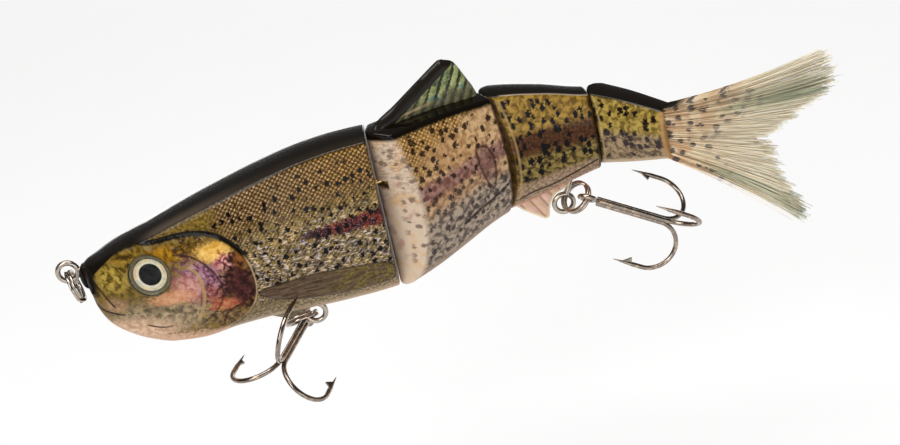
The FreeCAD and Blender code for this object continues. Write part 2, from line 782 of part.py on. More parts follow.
os.makedirs("parts", exist_ok=True)
TOP_TYPES = ("PartDesign::Body", "Part::Feature", "Part::Cylinder", "Part::Box")
for obj in doc.Objects:
    if obj.TypeId not in TOP_TYPES or obj.Name.startswith(("Origin", "X_", "Y_", "Z_")):
        continue
    shape = obj.Shape
    if shape.isNull() or not shape.isValid():
        raise SystemExit("bad shape: " + obj.Label)
    print(obj.Label, len(shape.Solids), round(shape.Volume, 2), shape.BoundBox)
    shape.exportStep("parts/%s.step" % obj.Label)
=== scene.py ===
import math
from types import SimpleNamespace

import bmesh
import bpy
import numpy as np
from mathutils import Matrix, Vector


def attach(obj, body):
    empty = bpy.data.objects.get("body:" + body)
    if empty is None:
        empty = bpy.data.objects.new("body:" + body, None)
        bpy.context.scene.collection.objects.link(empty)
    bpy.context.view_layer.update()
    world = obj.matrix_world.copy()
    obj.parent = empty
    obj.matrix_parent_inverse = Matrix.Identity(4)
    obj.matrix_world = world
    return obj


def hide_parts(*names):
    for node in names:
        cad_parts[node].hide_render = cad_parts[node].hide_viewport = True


# A jointed trout swimbait. Lengths are in millimetres in the straightened fish until a mesh is made:
# x runs from the line tie to the tail, z to the back, and the left flank faces -y.

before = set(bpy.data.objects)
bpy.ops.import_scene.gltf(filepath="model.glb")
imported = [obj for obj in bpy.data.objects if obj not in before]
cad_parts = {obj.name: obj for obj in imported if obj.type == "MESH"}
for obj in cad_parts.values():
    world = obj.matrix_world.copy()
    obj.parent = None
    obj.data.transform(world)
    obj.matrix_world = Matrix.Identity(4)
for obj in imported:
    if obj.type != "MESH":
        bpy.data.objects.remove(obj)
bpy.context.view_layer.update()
MM = 0.001

# ---------------------------------------------------------------- sizes that the CAD model states

PIN_X = (69.2, 96.8, 119.2)
YAW = (29, -24, -41)
SWEEP = (32, 37, 43)
REAR_GAP = 3.0
NOSE_X = 3.4
NOSE_RADIUS = 2.85
TAIL_X = 134.4
SLOT_RADIUS = 2.35
SLOT_HALF_HEIGHT = 0.9
TAIL_SLOT_EXTRA = 0.35
HINGE_HEIGHTS = (5.3, 3.0, 0.6)

# The body along its length: x, back height, belly depth, greatest half width, half width of the back.
STATIONS = np.array([
    (3.4, 1.0, -4.6, 1.7, 1.1),
    (4.3, 1.5, -9.6, 3.2, 2.1),
    (6.0, 2.1, -13.2, 4.4, 2.9),
    (9.0, 3.4, -16.0, 5.5, 3.7),
    (13.0, 4.9, -18.4, 6.5, 4.4),
    (18.0, 6.3, -20.1, 7.4, 5.1),
    (24.0, 8.4, -20.5, 8.2, 5.6),
    (32.0, 10.9, -19.4, 8.8, 5.9),
    (42.0, 13.7, -18.9, 8.9, 5.9),
    (52.0, 15.9, -19.1, 8.5, 5.6),
    (60.0, 16.8, -18.9, 8.0, 5.2),
    (66.2, 17.0, -18.4, 7.6, 4.9),
    (74.0, 16.8, -17.4, 7.3, 4.6),
    (82.0, 16.3, -15.6, 7.0, 4.3),
    (90.0, 15.2, -13.7, 6.6, 3.9),
    (98.0, 14.2, -12.7, 6.1, 3.6),
    (107.0, 12.1, -10.8, 5.5, 3.3),
    (116.2, 9.2, -8.9, 4.9, 2.9),
    (125.0, 7.6, -7.9, 4.1, 2.5),
    (134.4, 5.2, -6.5, 3.0, 2.0),
])
BACK, BELLY, HALF, SHOULDER = 1, 2, 3, 4
BACK_EDGE = 0.11  # how far the edge of the back lies under its ridge, as a share of its half width


# ---------------------------------------------------------------- numbers and outlines

def outline(column, x):
    """A smooth curve through the stations, as the CAD loft has it."""
    xs, ys = STATIONS[:, 0], STATIONS[:, column]
    rate = np.diff(ys) / np.diff(xs)
    slope = np.empty_like(ys)
    slope[0], slope[-1] = rate[0], rate[-1]
    before, after = rate[:-1], rate[1:]
    same = before * after > 0
    total = np.where(same, before + after, 1.0)
    slope[1:-1] = np.where(same, 2 * before * after / total, 0.0)
    spot = np.clip(np.searchsorted(xs, x) - 1, 0, len(xs) - 2)
    span = xs[spot + 1] - xs[spot]
    t = (x - xs[spot]) / span
    return (
        ys[spot] * (2 * t**3 - 3 * t**2 + 1)
        + slope[spot] * span * (t**3 - 2 * t**2 + t)
        + ys[spot + 1] * (3 * t**2 - 2 * t**3)
        + slope[spot + 1] * span * (t**3 - t**2)
    )


def smooth_step(value, low, high):
    t = np.clip((value - low) / (high - low), 0.0, 1.0)
    return t * t * (3 - 2 * t)


def smooth_path(points, closed=False, steps=10):
    """A Catmull-Rom curve through given points."""
    pts = np.array(points, float)
    count = len(pts)
    out = []
    for n in range(count if closed else count - 1):
        if closed:
            a, b, c, d = (pts[(n + k) % count] for k in (-1, 0, 1, 2))
        else:
            a, b = pts[max(n - 1, 0)], pts[n]
            c, d = pts[n + 1], pts[min(n + 2, count - 1)]
        for t in np.arange(steps) / steps:
            out.append(0.5 * (2 * b + (c - a) * t + (2 * a - 5 * b + 4 * c - d) * t**2
                              + (3 * b - a - 3 * c + d) * t**3))
    if not closed:
        out.append(pts[-1])
    return np.array(out)


def path_distance(x, z, path, closed=False):
    """Distance from points to a polyline."""
    ends = np.roll(path, -1, axis=0) if closed else path[1:]
    starts = path if closed else path[:-1]
    best = np.full(x.shape, 1e9)
    for (ax, az), (bx, bz) in zip(starts, ends):
        dx, dz = bx - ax, bz - az
        t = np.clip(((x - ax) * dx + (z - az) * dz) / (dx * dx + dz * dz + 1e-12), 0, 1)
        best = np.minimum(best, np.hypot(x - ax - t * dx, z - az - t * dz))
    return best


def inside_path(x, z, path):
    """Whether points lie inside a closed polyline."""
    found = np.zeros(x.shape, bool)
    for (ax, az), (bx, bz) in zip(path, np.roll(path, -1, axis=0)):
        crosses = (az > z) != (bz > z)
        run = np.where(crosses, (bx - ax) * (z - az) / (bz - az + 1e-12) + ax, 0)
        found ^= crosses & (x < run)
    return found


def signed_distance(x, z, path):
    """Positive inside a closed outline, negative outside."""
    away = path_distance(x, z, path, closed=True)
    return np.where(inside_path(x, z, path), away, -away)


def section_matrix(section):
    """From the straight fish in millimetres to a section's rest place in metres, by every pin ahead of it."""
    matrix = Matrix.Identity(4)
    for pin_x, yaw in list(zip(PIN_X, YAW))[: section - 1]:
        pin = Matrix.Translation((pin_x, 0, 0))
        matrix = matrix @ pin @ Matrix.Rotation(math.radians(yaw), 4, "Z") @ pin.inverted()
    return Matrix.Scale(MM, 4) @ matrix


# ---------------------------------------------------------------- places on the fish

EYE = (17.3, -1.4)
IRIS_ACROSS, IRIS_HEIGHT = 6.5, -1.5
EYE_POCKET_RADIUS = 4.62
GILL_LINE = [
    (16.9, 5.1), (19.6, 5.0), (22.2, 5.3), (24.9, 5.6), (27.4, 5.6), (30.4, 5.2), (33.2, 3.9), (35.6, 1.6),
    (37.2, -0.9), (38.0, -4.0), (38.0, -7.8), (37.0, -11.2), (34.6, -14.4), (30.7, -16.6),
]
GILL_EDGE = smooth_path([
    (14.2, 5.6), *GILL_LINE, (25.0, -17.8), (19.0, -17.2), (12.0, -12.0), (9.5, -4.0), (11.0, 2.0),
], closed=True)
HEAD_AREA = smooth_path([
    (-4.0, -2.2), (3.6, -2.2), (5.2, -0.7), (7.4, 1.1), (10.5, 3.3), (12.5, 4.4), (14.9, 5.4), *GILL_LINE,
    (29.0, -20.0), (24.0, -25.0), (-4.0, -25.0),
], closed=True)
CHEEK_ARC = smooth_path([(23.0, 2.2), (27.2, 0.8), (30.4, -3.0), (31.2, -7.4), (29.2, -11.4), (25.4, -14.4)])
CHEEK_STREAK = smooth_path([
    (25.8, -0.9), (27.0, -2.6), (27.4, -4.8), (27.2, -7.6), (26.3, -10.4), (24.6, -13.2),
])
GILL_FLOOR = smooth_path([(37.4, -9.6), (34.4, -11.2), (31.0, -12.8), (29.4, -15.4)])
MOUTH = smooth_path([(3.8, -5.4), (4.6, -7.4), (6.0, -8.7), (8.3, -9.5), (9.8, -9.8)])
LIP = smooth_path([(5.0, -1.6), (6.1, -3.5), (7.2, -5.8), (8.2, -7.8)])
CHIN = smooth_path([(14.0, -13.1), (16.3, -13.8), (18.9, -13.8)])
LEAF = smooth_path([
    (87.0, 6.4), (89.4, 5.6), (90.3, 2.6), (89.9, -1.6), (88.8, -3.4), (87.4, -0.6), (86.6, 3.2),
], closed=True)
FOLDS = {
    2: smooth_path([(80.8, -8.4), (84.6, -7.0), (88.4, -6.0), (92.6, -4.4)]),
    3: smooth_path([(97.0, -10.2), (101.0, -9.0), (105.0, -8.6), (110.0, -7.2), (115.4, -5.4)]),
}
PECTORAL = smooth_path([
    (37.8, -9.6), (46.9, -8.3), (57.4, -8.6), (65.6, -10.0), (65.4, -14.4), (58.0, -15.2),
    (51.8, -14.9), (43.0, -13.2),
], closed=True)


# ---------------------------------------------------------------- the hard body

RING = np.concatenate([
    np.linspace(0, 0.86, 8), np.linspace(0.9, 1.1, 9), np.linspace(1.13, 2, 36), np.linspace(2.025, 3, 42),
])


def profile(x, ring):
    """Half width and height of the skin at place x, at ring places from the ridge (0) to the keel (3)."""
    back, belly = outline(BACK, x), outline(BELLY, x)
    half, shoulder = outline(HALF, x), outline(SHOULDER, x)
    edge = back - BACK_EDGE * shoulder
    widest = belly + 0.5 * (back - belly)
    crown = np.clip(ring, 0, 1)
    upper = np.clip(ring - 1, 0, 1)
    lower = np.clip(ring - 2, 0, 1) * np.pi / 2
    y = np.where(ring <= 1, shoulder * crown, shoulder + (half - shoulder) * np.sin(upper * np.pi / 2))
    z = np.where(ring <= 1, back - (back - edge) * crown**2, edge + (widest - edge) * upper)
    y = np.where(ring > 2, half * np.cos(lower).clip(0) ** 0.85, y)
    z = np.where(ring > 2, widest - (widest - belly) * np.sin(lower), z)
    return y, z


def wedge_front(section, y):
    """Where the swept nose of a section starts, at a distance y from the middle plane."""
    pin, lean = PIN_X[section - 2], math.radians(SWEEP[section - 2])
    touch = NOSE_RADIUS * math.sin(lean)
    near = np.minimum(np.abs(y), touch)
    round_nose = pin - np.sqrt(NOSE_RADIUS**2 - near**2)
    swept = pin - NOSE_RADIUS * math.cos(lean) + (np.abs(y) - touch) * math.tan(lean)
    return np.where(np.abs(y) < touch, round_nose, swept)


def rear_end(section):
    return TAIL_X if section == 4 else PIN_X[section - 1] - REAR_GAP


def half_grid(section, pitch=0.36, fillet=0.45):
    """Points of the left half, rows along the fish and columns round the ring, with the relief."""
    rear = rear_end(section)
    edge = np.array([0.0, 0.06, 0.2, 0.45])
    if section == 1:
        count = int((rear - NOSE_X) / pitch)
        body = NOSE_X + (rear - NOSE_X) * (np.arange(count) / count) ** 1.3
        rows = np.concatenate([body, rear - edge[::-1]])
        x = np.repeat(rows[:, None], len(RING), 1)
        front = np.full(x.shape, -10.0)
    else:
        length = rear - PIN_X[section - 2]
        inner = np.linspace(edge[-1] / length, 1 - edge[-1] / length, int(length / pitch))
        t = np.concatenate([edge[:-1] / length, inner, 1 - edge[:-1][::-1] / length])
        x = np.full((len(t), len(RING)), PIN_X[section - 2])
        for _ in range(8):
            y, z = profile(x, RING[None, :])
            front = wedge_front(section, y)
            x = front + (rear - front) * t[:, None]
    y, z = profile(x, RING[None, :])
    for _ in range(6):
        soft = np.exp(-((RING - 1) / 0.055) ** 2)[1:-1][None, :] * 0.5
        for values in (y, z):
            values[:, 1:-1] += soft * (0.5 * (values[:, 2:] + values[:, :-2]) - values[:, 1:-1])
    away = np.minimum(np.clip(x - front, 0, fillet), np.clip(rear - x, 0, fillet))
    inset = fillet - np.sqrt(np.clip(fillet**2 - (fillet - away) ** 2, 0, None))
    dy, dz = np.gradient(y, axis=1), np.gradient(z, axis=1)
    dy[:, 0], dz[:, 0] = 1.0, 0.0
    dy[:, -1], dz[:, -1] = -1.0, 0.0
    size = np.hypot(dy, dz) + 1e-9
    out_y, out_z = -dz / size, dy / size
    grow = relief(section, x, z) - inset
    y = y + grow * out_y
    z = z + grow * out_z
    y[:, 0] = 0
    y[:, -1] = 0
    return x, np.maximum(y, 0), z


# Moulded lines of the head: the path, how far off it the crest lies, its height and its half width.
HEAD_LINES = (
    (CHEEK_ARC, 0.0, -0.20, 0.35), (CHEEK_ARC, 0.9, 0.16, 0.6), (CHEEK_STREAK, 0.0, 0.12, 0.5),
    (GILL_FLOOR, 0.0, -0.20, 0.3), (MOUTH, 0.0, -0.30, 0.3), (LIP, 0.0, -0.18, 0.35), (CHIN, 0.0, -0.22, 0.3),
)


def ridge(distance, crest, height, width):
    """A rounded ridge, or a groove if the height is negative."""
    return height * np.exp(-((distance - crest) / width) ** 2)


def relief(section, x, z):
    """How far the moulded detail stands out of the plain skin."""
    if section != 1:
        return np.zeros(x.shape)
    gill = signed_distance(x, z, GILL_EDGE)
    rear_part = smooth_step(x, 14.0, 19.0) * smooth_step(outline(BACK, x) - z, 0.7, 1.5)
    plate = smooth_step(gill, -0.05, 0.4) * np.exp(-np.clip(gill, 0, None) / 7.0)
    fin = signed_distance(x, z, PECTORAL)
    spread = 0.35 + 0.022 * (x - 30)
    rays = np.cos((z + 11.0 + 0.16 * (x - 40)) * 4.0 / spread) * smooth_step(fin, 0.4, 1.2)
    total = (0.62 * plate + ridge(gill, -0.35, -0.22, 0.3)) * rear_part
    for path, crest, height, width in HEAD_LINES:
        total += ridge(path_distance(x, z, path), crest, height, width)
    total += 0.22 * smooth_step(fin, -0.1, 0.5) + 0.05 * rays
    return total + ridge(np.hypot(x - EYE[0], z - EYE[1]), 5.0, 0.22, 0.5)


def wall_rows(x, y, z, front_of):
    """A wall across the fish between the left and right edges of a section's end."""
    across = np.linspace(-1, 1, 23)
    across = 0.35 * across + 0.65 * across**3
    wy = y[:, None] * across[None, :]
    wz = np.repeat(z[:, None], len(across), 1)
    wx = front_of(wy) if front_of else np.repeat(x[:, None], len(across), 1)
    return wx, wy, wz


def add_grid(bm, x, y, z, flip=False):
    """Quads over a grid of points."""
    rows, columns = x.shape
    verts = [[bm.verts.new((x[r, c], y[r, c], z[r, c])) for c in range(columns)] for r in range(rows)]
    for r in range(rows - 1):
        for c in range(columns - 1):
            quad = (verts[r][c], verts[r][c + 1], verts[r + 1][c + 1], verts[r + 1][c])
            bm.faces.new(quad[::-1] if flip else quad)


def nose_rows(x, y, z):
    """Rings that round the blunt front of the head off, from the tip back to the first ring."""
    turns = np.radians(np.linspace(90, 12, 8))
    centre = 0.5 * (z[0, 0] + z[0, -1])
    nx = np.array([np.full(x.shape[1], x[0, 0] - 1.3 * math.sin(a)) for a in turns])
    ny = np.array([y[0] * math.cos(a) for a in turns])
    nz = np.array([centre + (z[0] - centre) * math.cos(a) for a in turns])
    return np.vstack([nx, x]), np.vstack([ny, y]), np.vstack([nz, z])


def linked(name, data):
    """A new object in the scene for a mesh, a light or a camera."""
    obj = bpy.data.objects.new(name, data)
    bpy.context.scene.collection.objects.link(obj)
    return obj


def new_object(name, bm):
    mesh = bpy.data.meshes.new(name)
    bm.to_mesh(mesh)
    bm.free()
    return linked(name, mesh)


def wall(bm, low, high):
    """Quads between two closed loops with the same number of points."""
    for n in range(len(low)):
        after = (n + 1) % len(low)
        bm.faces.new((low[n], low[after], high[after], high[n]))


def section_mesh(name, section):
    """The closed outside of one hollow section, both halves, in straight millimetres."""
    x, y, z = half_grid(section)
    bm = bmesh.new()
    if section == 1:
        x, y, z = nose_rows(x, y, z)
    else:
        wx, wy, wz = wall_rows(x[0], y[0], z[0], lambda across: wedge_front(section, across))
        wx[:, 0], wx[:, -1] = x[0], x[0]
        add_grid(bm, wx, wy, wz)
    wx, wy, wz = wall_rows(x[-1], y[-1], z[-1], None)
    add_grid(bm, wx, wy, wz)
    add_grid(bm, x, -y, z)
    add_grid(bm, x, y, z, flip=True)
    bmesh.ops.remove_doubles(bm, verts=bm.verts, dist=1e-4)
    bmesh.ops.dissolve_degenerate(bm, edges=bm.edges, dist=1e-5)
    bmesh.ops.recalc_face_normals(bm, faces=bm.faces)
    return new_object(name, bm)


def disc_cutter(radius, height, centre, arm=0.0):
    """A short upright cylinder, drawn out forwards by arm, that cuts a slot."""
    bm = bmesh.new()
    steps = 40
    rim = []
    for n in range(steps):
        turn = 2 * math.pi * n / steps
        forward = arm if math.cos(turn) < -1e-6 else 0.0
        rim.append((centre[0] + radius * math.cos(turn) - forward, centre[1] + radius * math.sin(turn)))
    low = [bm.verts.new((px, py, centre[2] - height / 2)) for px, py in rim]
    high = [bm.verts.new((px, py, centre[2] + height / 2)) for px, py in rim]
    bm.faces.new(low[::-1])
    bm.faces.new(high)
    wall(bm, low, high)
    return new_object("cutter", bm)


def carve(obj, cutters):
    """Cut pieces out of a mesh for good, and throw the cutters away."""
    for cutter in cutters:
        modifier = obj.modifiers.new("cut", "BOOLEAN")
        modifier.operation = "DIFFERENCE"
        modifier.solver = "EXACT"
        modifier.object = cutter
    bpy.context.view_layer.update()
    graph = bpy.context.evaluated_depsgraph_get()
    mesh = bpy.data.meshes.new_from_object(obj.evaluated_get(graph))
    obj.modifiers.clear()
    obj.data = mesh
    for cutter in cutters:
        bpy.data.objects.remove(cutter)


EYE_FACING = {
    side: Vector((-math.sin(math.radians(11)), side * math.cos(math.radians(11)) * math.cos(math.radians(6)),
                  math.sin(math.radians(6)))).normalized()
    for side in (-1, 1)
}


def eye_matrix(side):
    """Origin on the iris, +Z outwards, in straight millimetres."""
    turn = Vector((0, 0, 1)).rotation_difference(EYE_FACING[side]).to_matrix().to_4x4()
    return Matrix.Translation((EYE[0], side * IRIS_ACROSS, IRIS_HEIGHT)) @ turn


def section_cutters(section):
    cutters = []
    if section == 1:
        for side in (-1, 1):
            cutter = disc_cutter(EYE_POCKET_RADIUS, 12.0, (0, 0, 5.25))
            cutter.data.transform(eye_matrix(side))
            cutters.append(cutter)
    else:
        centre = (PIN_X[section - 2], 0, HINGE_HEIGHTS[section - 2])
        radius = SLOT_RADIUS + (TAIL_SLOT_EXTRA if section == 4 else 0.0)
        cutters.append(disc_cutter(radius, 2 * SLOT_HALF_HEIGHT, centre, arm=6.0))
    return cutters


def coordinates(mesh):
    points = np.empty(len(mesh.vertices) * 3, np.float32)
    mesh.vertices.foreach_get("co", points)
    return points.reshape(-1, 3).astype(float)


def store(mesh, name, values):
    """Keep a value per vertex that a material reads."""
    kind, key = ("FLOAT_VECTOR", "vector") if values.ndim == 2 else ("FLOAT", "value")
    layer = mesh.attributes.new(name, kind, "POINT")
    layer.data.foreach_set(key, values.astype(np.float32).ravel())


def store_fields(mesh, section):
    """Where each vertex lies on the fish, for the paint."""
    points = coordinates(mesh)
    x, y, z = points.T
    along = np.clip(x, NOSE_X, TAIL_X)
    shoulder = outline(BACK, along) - BACK_EDGE * outline(SHOULDER, along)
    belly = outline(BELLY, along)
    store(mesh, "fish", points)
    store(mesh, "drop", shoulder - z)
    store(mesh, "height", (z - belly) / (shoulder - belly))
    front = np.full(x.shape, -10.0) if section == 1 else wedge_front(section, y)
    store(mesh, "ahead", x - front)
    store(mesh, "behind", rear_end(section) - x)
    if section in FOLDS:
        store(mesh, "crease", path_distance(x, z, FOLDS[section]))
    if section == 2:
        store(mesh, "leaf", signed_distance(x, z, LEAF))
    if section == 1:
        store(mesh, "crown", np.abs(y) / outline(SHOULDER, along))
        for name, area in (("gill", GILL_EDGE), ("head", HEAD_AREA), ("pectoral", PECTORAL)):
            store(mesh, name, signed_distance(x, z, area))
        for name, line in (("cheek", CHEEK_ARC), ("streak", CHEEK_STREAK), ("floor", GILL_FLOOR)):
            store(mesh, name, path_distance(x, z, line))
        lines = [path_distance(x, z, path) for path in (MOUTH, LIP, CHIN)]
        store(mesh, "crease", np.minimum.reduce(lines))


def place(obj, matrix, body, material, replaced=()):
    """Turn a mesh to its rest place in metres, give it its material and hand it to its body."""
    obj.data.transform(matrix)
    obj.data.materials.clear()
    obj.data.materials.append(material)
    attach(obj, body)
    if replaced:
        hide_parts(*replaced)


def soften(obj, degrees=40):
    obj.data.shade_smooth()
    obj.data.set_sharp_from_angle(angle=math.radians(degrees))


SECTIONS = (("front", "front_section"), ("second", "second_section"), ("third", "third_section"),
            ("tail", "tail_section"))


def body_skins(paint):
    for number, (word, body) in enumerate(SECTIONS, 1):
        obj = section_mesh(word + "_skin", number)
        carve(obj, section_cutters(number))
        store_fields(obj.data, number)
        soften(obj)
        shells = (word + "_shell_left", word + "_shell_right")
        place(obj, section_matrix(number), body, paint[number - 1], shells)


# ---------------------------------------------------------------- materials

class Paint:
    """Adds shader nodes one by one and wires them, for a material built on the Principled shader."""

    def __init__(self, name, **settings):
        self.material = bpy.data.materials.new(name)
        self.material.use_nodes = True
        self.tree = self.material.node_tree
        self.shader = self.tree.nodes["Principled BSDF"]
        for key, value in settings.items():
            self.shader.inputs[key.replace("_", " ")].default_value = value

    def node(self, kind, **settings):
        made = self.tree.nodes.new(kind)
        for key, value in settings.items():
            setattr(made, key, value)
        return made

    def put(self, socket, value):
        if isinstance(value, bpy.types.NodeSocket):
            self.tree.links.new(value, socket)
        elif isinstance(value, (tuple, list)) and len(value) == 3 and socket.type == "RGBA":
            socket.default_value = (*value, 1.0)
        else:
            socket.default_value = value

    def field(self, name):
        return self.node("ShaderNodeAttribute", attribute_name=name).outputs["Fac"]

    def place(self, name="fish"):
        return self.node("ShaderNodeAttribute", attribute_name=name).outputs["Vector"]

    def object_place(self):
        return self.node("ShaderNodeTexCoord").outputs["Object"]

    def number(self, operation, a, b=0.0, c=0.0):
        node = self.node("ShaderNodeMath", operation=operation)
        for socket, value in zip(node.inputs, (a, b, c)):
            self.put(socket, value)
        return node.outputs[0]

    def plus(self, a, b):
        return self.number("ADD", a, b)

    def minus(self, a, b):
        return self.number("SUBTRACT", a, b)

    def times(self, a, b):
        return self.number("MULTIPLY", a, b)

    def scaled(self, value, factor, offset):
        """value * factor + offset"""
        return self.number("MULTIPLY_ADD", value, factor, offset)

    def size(self, value):
        return self.number("ABSOLUTE", value)

    def step(self, value, low, high):
        """0 below low and 1 above high, or the other way round if low is the larger."""
        node = self.node("ShaderNodeMapRange", interpolation_type="SMOOTHSTEP")
        flip = low > high
        lows = (high, low, 1.0, 0.0) if flip else (low, high, 0.0, 1.0)
        self.put(node.inputs["Value"], value)
        for key, number in zip(("From Min", "From Max", "To Min", "To Max"), lows):
            node.inputs[key].default_value = number
        return node.outputs["Result"]

    def band(self, value, centre, reach):
        """1 at centre, falling to 0 at reach either side."""
        off = self.size(self.minus(value, centre))
        return self.step(off, reach, 0.0)

    def parts(self, vector):
        node = self.node("ShaderNodeSeparateXYZ")
        self.put(node.inputs[0], vector)
        return node.outputs[0], node.outputs[1], node.outputs[2]

    def join(self, x, y=0.0, z=0.0):
        node = self.node("ShaderNodeCombineXYZ")
        for socket, value in zip(node.inputs, (x, y, z)):
            self.put(socket, value)
        return node.outputs[0]

    def noise(self, vector, scale, detail=2.0, roughness=0.5, distortion=0.0):
        node = self.node("ShaderNodeTexNoise")
        self.put(node.inputs["Vector"], vector)
        settings = {"Scale": scale, "Detail": detail, "Roughness": roughness, "Distortion": distortion}
        for key, value in settings.items():
            node.inputs[key].default_value = value
        return node.outputs["Fac"]

    def cells(self, vector, scale):
        """Distance to the nearest cell centre, and a random number for the cell."""
        node = self.node("ShaderNodeTexVoronoi", voronoi_dimensions="2D")
        self.put(node.inputs["Vector"], vector)
        node.inputs["Scale"].default_value = scale
        return node.outputs["Distance"], self.parts(node.outputs["Color"])[0]

    def mix(self, factor, a, b, blend="MIX"):
        node = self.node("ShaderNodeMix", data_type="RGBA", blend_type=blend)
        self.put(node.inputs[0], factor)
        self.put(node.inputs[6], a)
        self.put(node.inputs[7], b)
        return node.outputs[2]

    def deepen(self, colour, power):
        """Darken the dark tints more than the pale ones."""
        node = self.node("ShaderNodeGamma")
        self.put(node.inputs["Color"], colour)
        self.put(node.inputs["Gamma"], power)
        return node.outputs["Color"]

    def lay(self, under, tint, mask, strength=1.0):
        """Lay a tint over a colour where the mask says so."""
        return self.mix(mask if strength == 1.0 else self.times(mask, strength), under, tint)

    def ramp(self, value, stops):
        node = self.node("ShaderNodeValToRGB")
        self.put(node.inputs[0], value)
        elements = node.color_ramp.elements
        while len(elements) < len(stops):
            elements.new(0.5)
        for element, (position, colour) in zip(elements, stops):
            element.position = position
            element.color = (*colour, 1.0)
        return node.outputs["Color"]

    def spots(self, vector, scale, small, large, share):
        """Round marks: each cell has one, of its own size, and only a share of the cells has any."""
        away, lot = self.cells(vector, scale)
        there = self.step(lot, share, share - 0.02)
        reach = self.scaled(lot, (large - small) / share, small)
        edge = self.minus(reach, away)
        return self.times(self.step(edge, -0.02, 0.06), there)

    def bump(self, height, strength, distance):
        node = self.node("ShaderNodeBump")
        self.put(node.inputs["Height"], height)
        node.inputs["Strength"].default_value = strength
        node.inputs["Distance"].default_value = distance
        self.tree.links.new(node.outputs["Normal"], self.shader.inputs["Normal"])

    def colour(self, value):
        self.put(self.shader.inputs["Base Color"], value)

    def rough(self, value):
        self.put(self.shader.inputs["Roughness"], value)


BLACK = (0.012, 0.009, 0.006)
INK = (0.006, 0.004, 0.005)
IVORY = (0.66, 0.59, 0.53)
# A painted reflection: warm light caught along the bottom edge of the belly, laid into the colour.
PAINTED_RIM_LIGHT = (0.66, 0.38, 0.25)

# Patches on the head, painted in turn: place along and up, half length, half height, two tints, strength.
HEAD_PATCHES = (
    (9.5, -1.5, 4.2, 3.4, (0.13, 0.095, 0.015), (0.50, 0.42, 0.13), 0.9),
    (13.5, 2.6, 4.5, 1.9, (0.075, 0.050, 0.010), (0.38, 0.28, 0.06), 0.9),
    (17.0, -11.5, 12.5, 4.6, (0.19, 0.17, 0.125), (0.54, 0.47, 0.38), 0.9),
    (11.0, -14.6, 9.5, 3.6, (0.52, 0.39, 0.31), (0.78, 0.63, 0.54), 0.95),
    (20.0, -18.6, 9.0, 2.6, (0.56, 0.42, 0.34), (0.78, 0.62, 0.53), 0.9),
    (16.6, -9.4, 3.6, 1.4, (0.13, 0.11, 0.075), (0.25, 0.21, 0.15), 0.7),
    (8.4, -7.4, 2.6, 1.9, (0.34, 0.24, 0.17), (0.56, 0.42, 0.32), 0.7),
    (21.6, 2.6, 5.0, 1.8, (0.22, 0.13, 0.010), (0.48, 0.30, 0.03), 0.95),
    (26.6, 3.4, 3.6, 1.6, (0.045, 0.026, 0.006), (0.19, 0.12, 0.02), 0.8),
    (27.6, -4.4, 5.6, 5.2, (0.15, 0.055, 0.12), (0.50, 0.32, 0.47), 0.95),
    (24.4, -5.6, 3.4, 3.2, (0.42, 0.20, 0.19), (0.66, 0.44, 0.40), 0.8),
    (29.2, -7.6, 2.4, 2.4, (0.10, 0.030, 0.030), (0.42, 0.16, 0.14), 0.8),
    (20.6, -7.0, 4.6, 1.6, (0.60, 0.34, 0.23), (0.70, 0.48, 0.35), 0.85),
    (31.4, 1.5, 4.0, 2.2, (0.62, 0.40, 0.09), (0.88, 0.68, 0.30), 0.97),
    (33.6, -1.3, 2.9, 2.0, (0.46, 0.15, 0.23), (0.80, 0.52, 0.52), 0.95),
    (34.9, -6.6, 3.9, 6.4, (0.036, 0.012, 0.012), (0.13, 0.045, 0.046), 1.0),
    (36.0, -0.9, 1.7, 2.2, (0.050, 0.020, 0.006), (0.30, 0.13, 0.03), 0.9),
    (30.8, -10.6, 3.2, 1.5, (0.42, 0.12, 0.08), (0.62, 0.30, 0.20), 0.85),
    (31.0, -14.0, 4.6, 1.9, (0.10, 0.07, 0.035), (0.36, 0.26, 0.17), 0.85),
)

# Patches on the flank of section 2, told the same way.
SECOND_PATCHES = (
    (80.5, 7.5, 7.5, 4.2, (0.36, 0.23, 0.12), (0.58, 0.42, 0.26), 0.85),
    (78.0, -1.0, 6.0, 4.0, (0.27, 0.16, 0.10), (0.50, 0.35, 0.23), 0.75),
    (72.0, 2.4, 3.4, 1.5, (0.26, 0.13, 0.13), (0.46, 0.30, 0.28), 0.7),
    (88.4, 2.4, 2.6, 4.2, (0.20, 0.11, 0.105), (0.38, 0.23, 0.21), 0.85),
)


def trout_base(p):
    """Places and noises that the paint of every section reads, in millimetres on the fish."""
    fish = p.place()
    x, y, z = p.parts(fish)
    side = p.step(y, -0.5, 0.5)
    flat = p.join(p.scaled(side, 57.0, x), z)
    f = SimpleNamespace(fish=fish, x=x, y=y, z=z, flat=flat)
    f.drop = p.field("drop")
    f.height = p.field("height")
    f.wander = p.noise(flat, 0.45, 3.0)
    f.mottle = p.noise(flat, 1.5, 3.0, 0.6)
    f.fleck = p.noise(flat, 3.4, 2.0, 0.6)
    f.facet = p.noise(flat, 0.85, 2.0, 0.45, 0.6)
    f.dots = scale_net(p, f)
    return f


def scale_net(p, f):
    """Staggered rows of small pale scales: regular near the back, breaking up lower down."""
    loose = p.scaled(p.step(f.height, 0.90, 0.50), 2.6, 0.7)
    push = p.times(p.minus(f.mottle, 0.5), loose)
    along = p.times(p.plus(f.x, push), 5.7)
    down = p.times(p.minus(f.drop, push), 6.3)
    lattice = p.times(p.number("COSINE", along), p.number("COSINE", down))
    bright = p.scaled(p.step(f.fleck, 0.40, 0.60), 0.7, 0.3)
    uneven = p.scaled(p.step(f.mottle, 0.34, 0.58), 0.6, 0.4)
    return p.times(p.step(lattice, -0.15, 0.45), p.times(bright, uneven))


def tints(p, noise, dark, light, low=0.40, high=0.60):
    return p.mix(p.step(noise, low, high), dark, light)


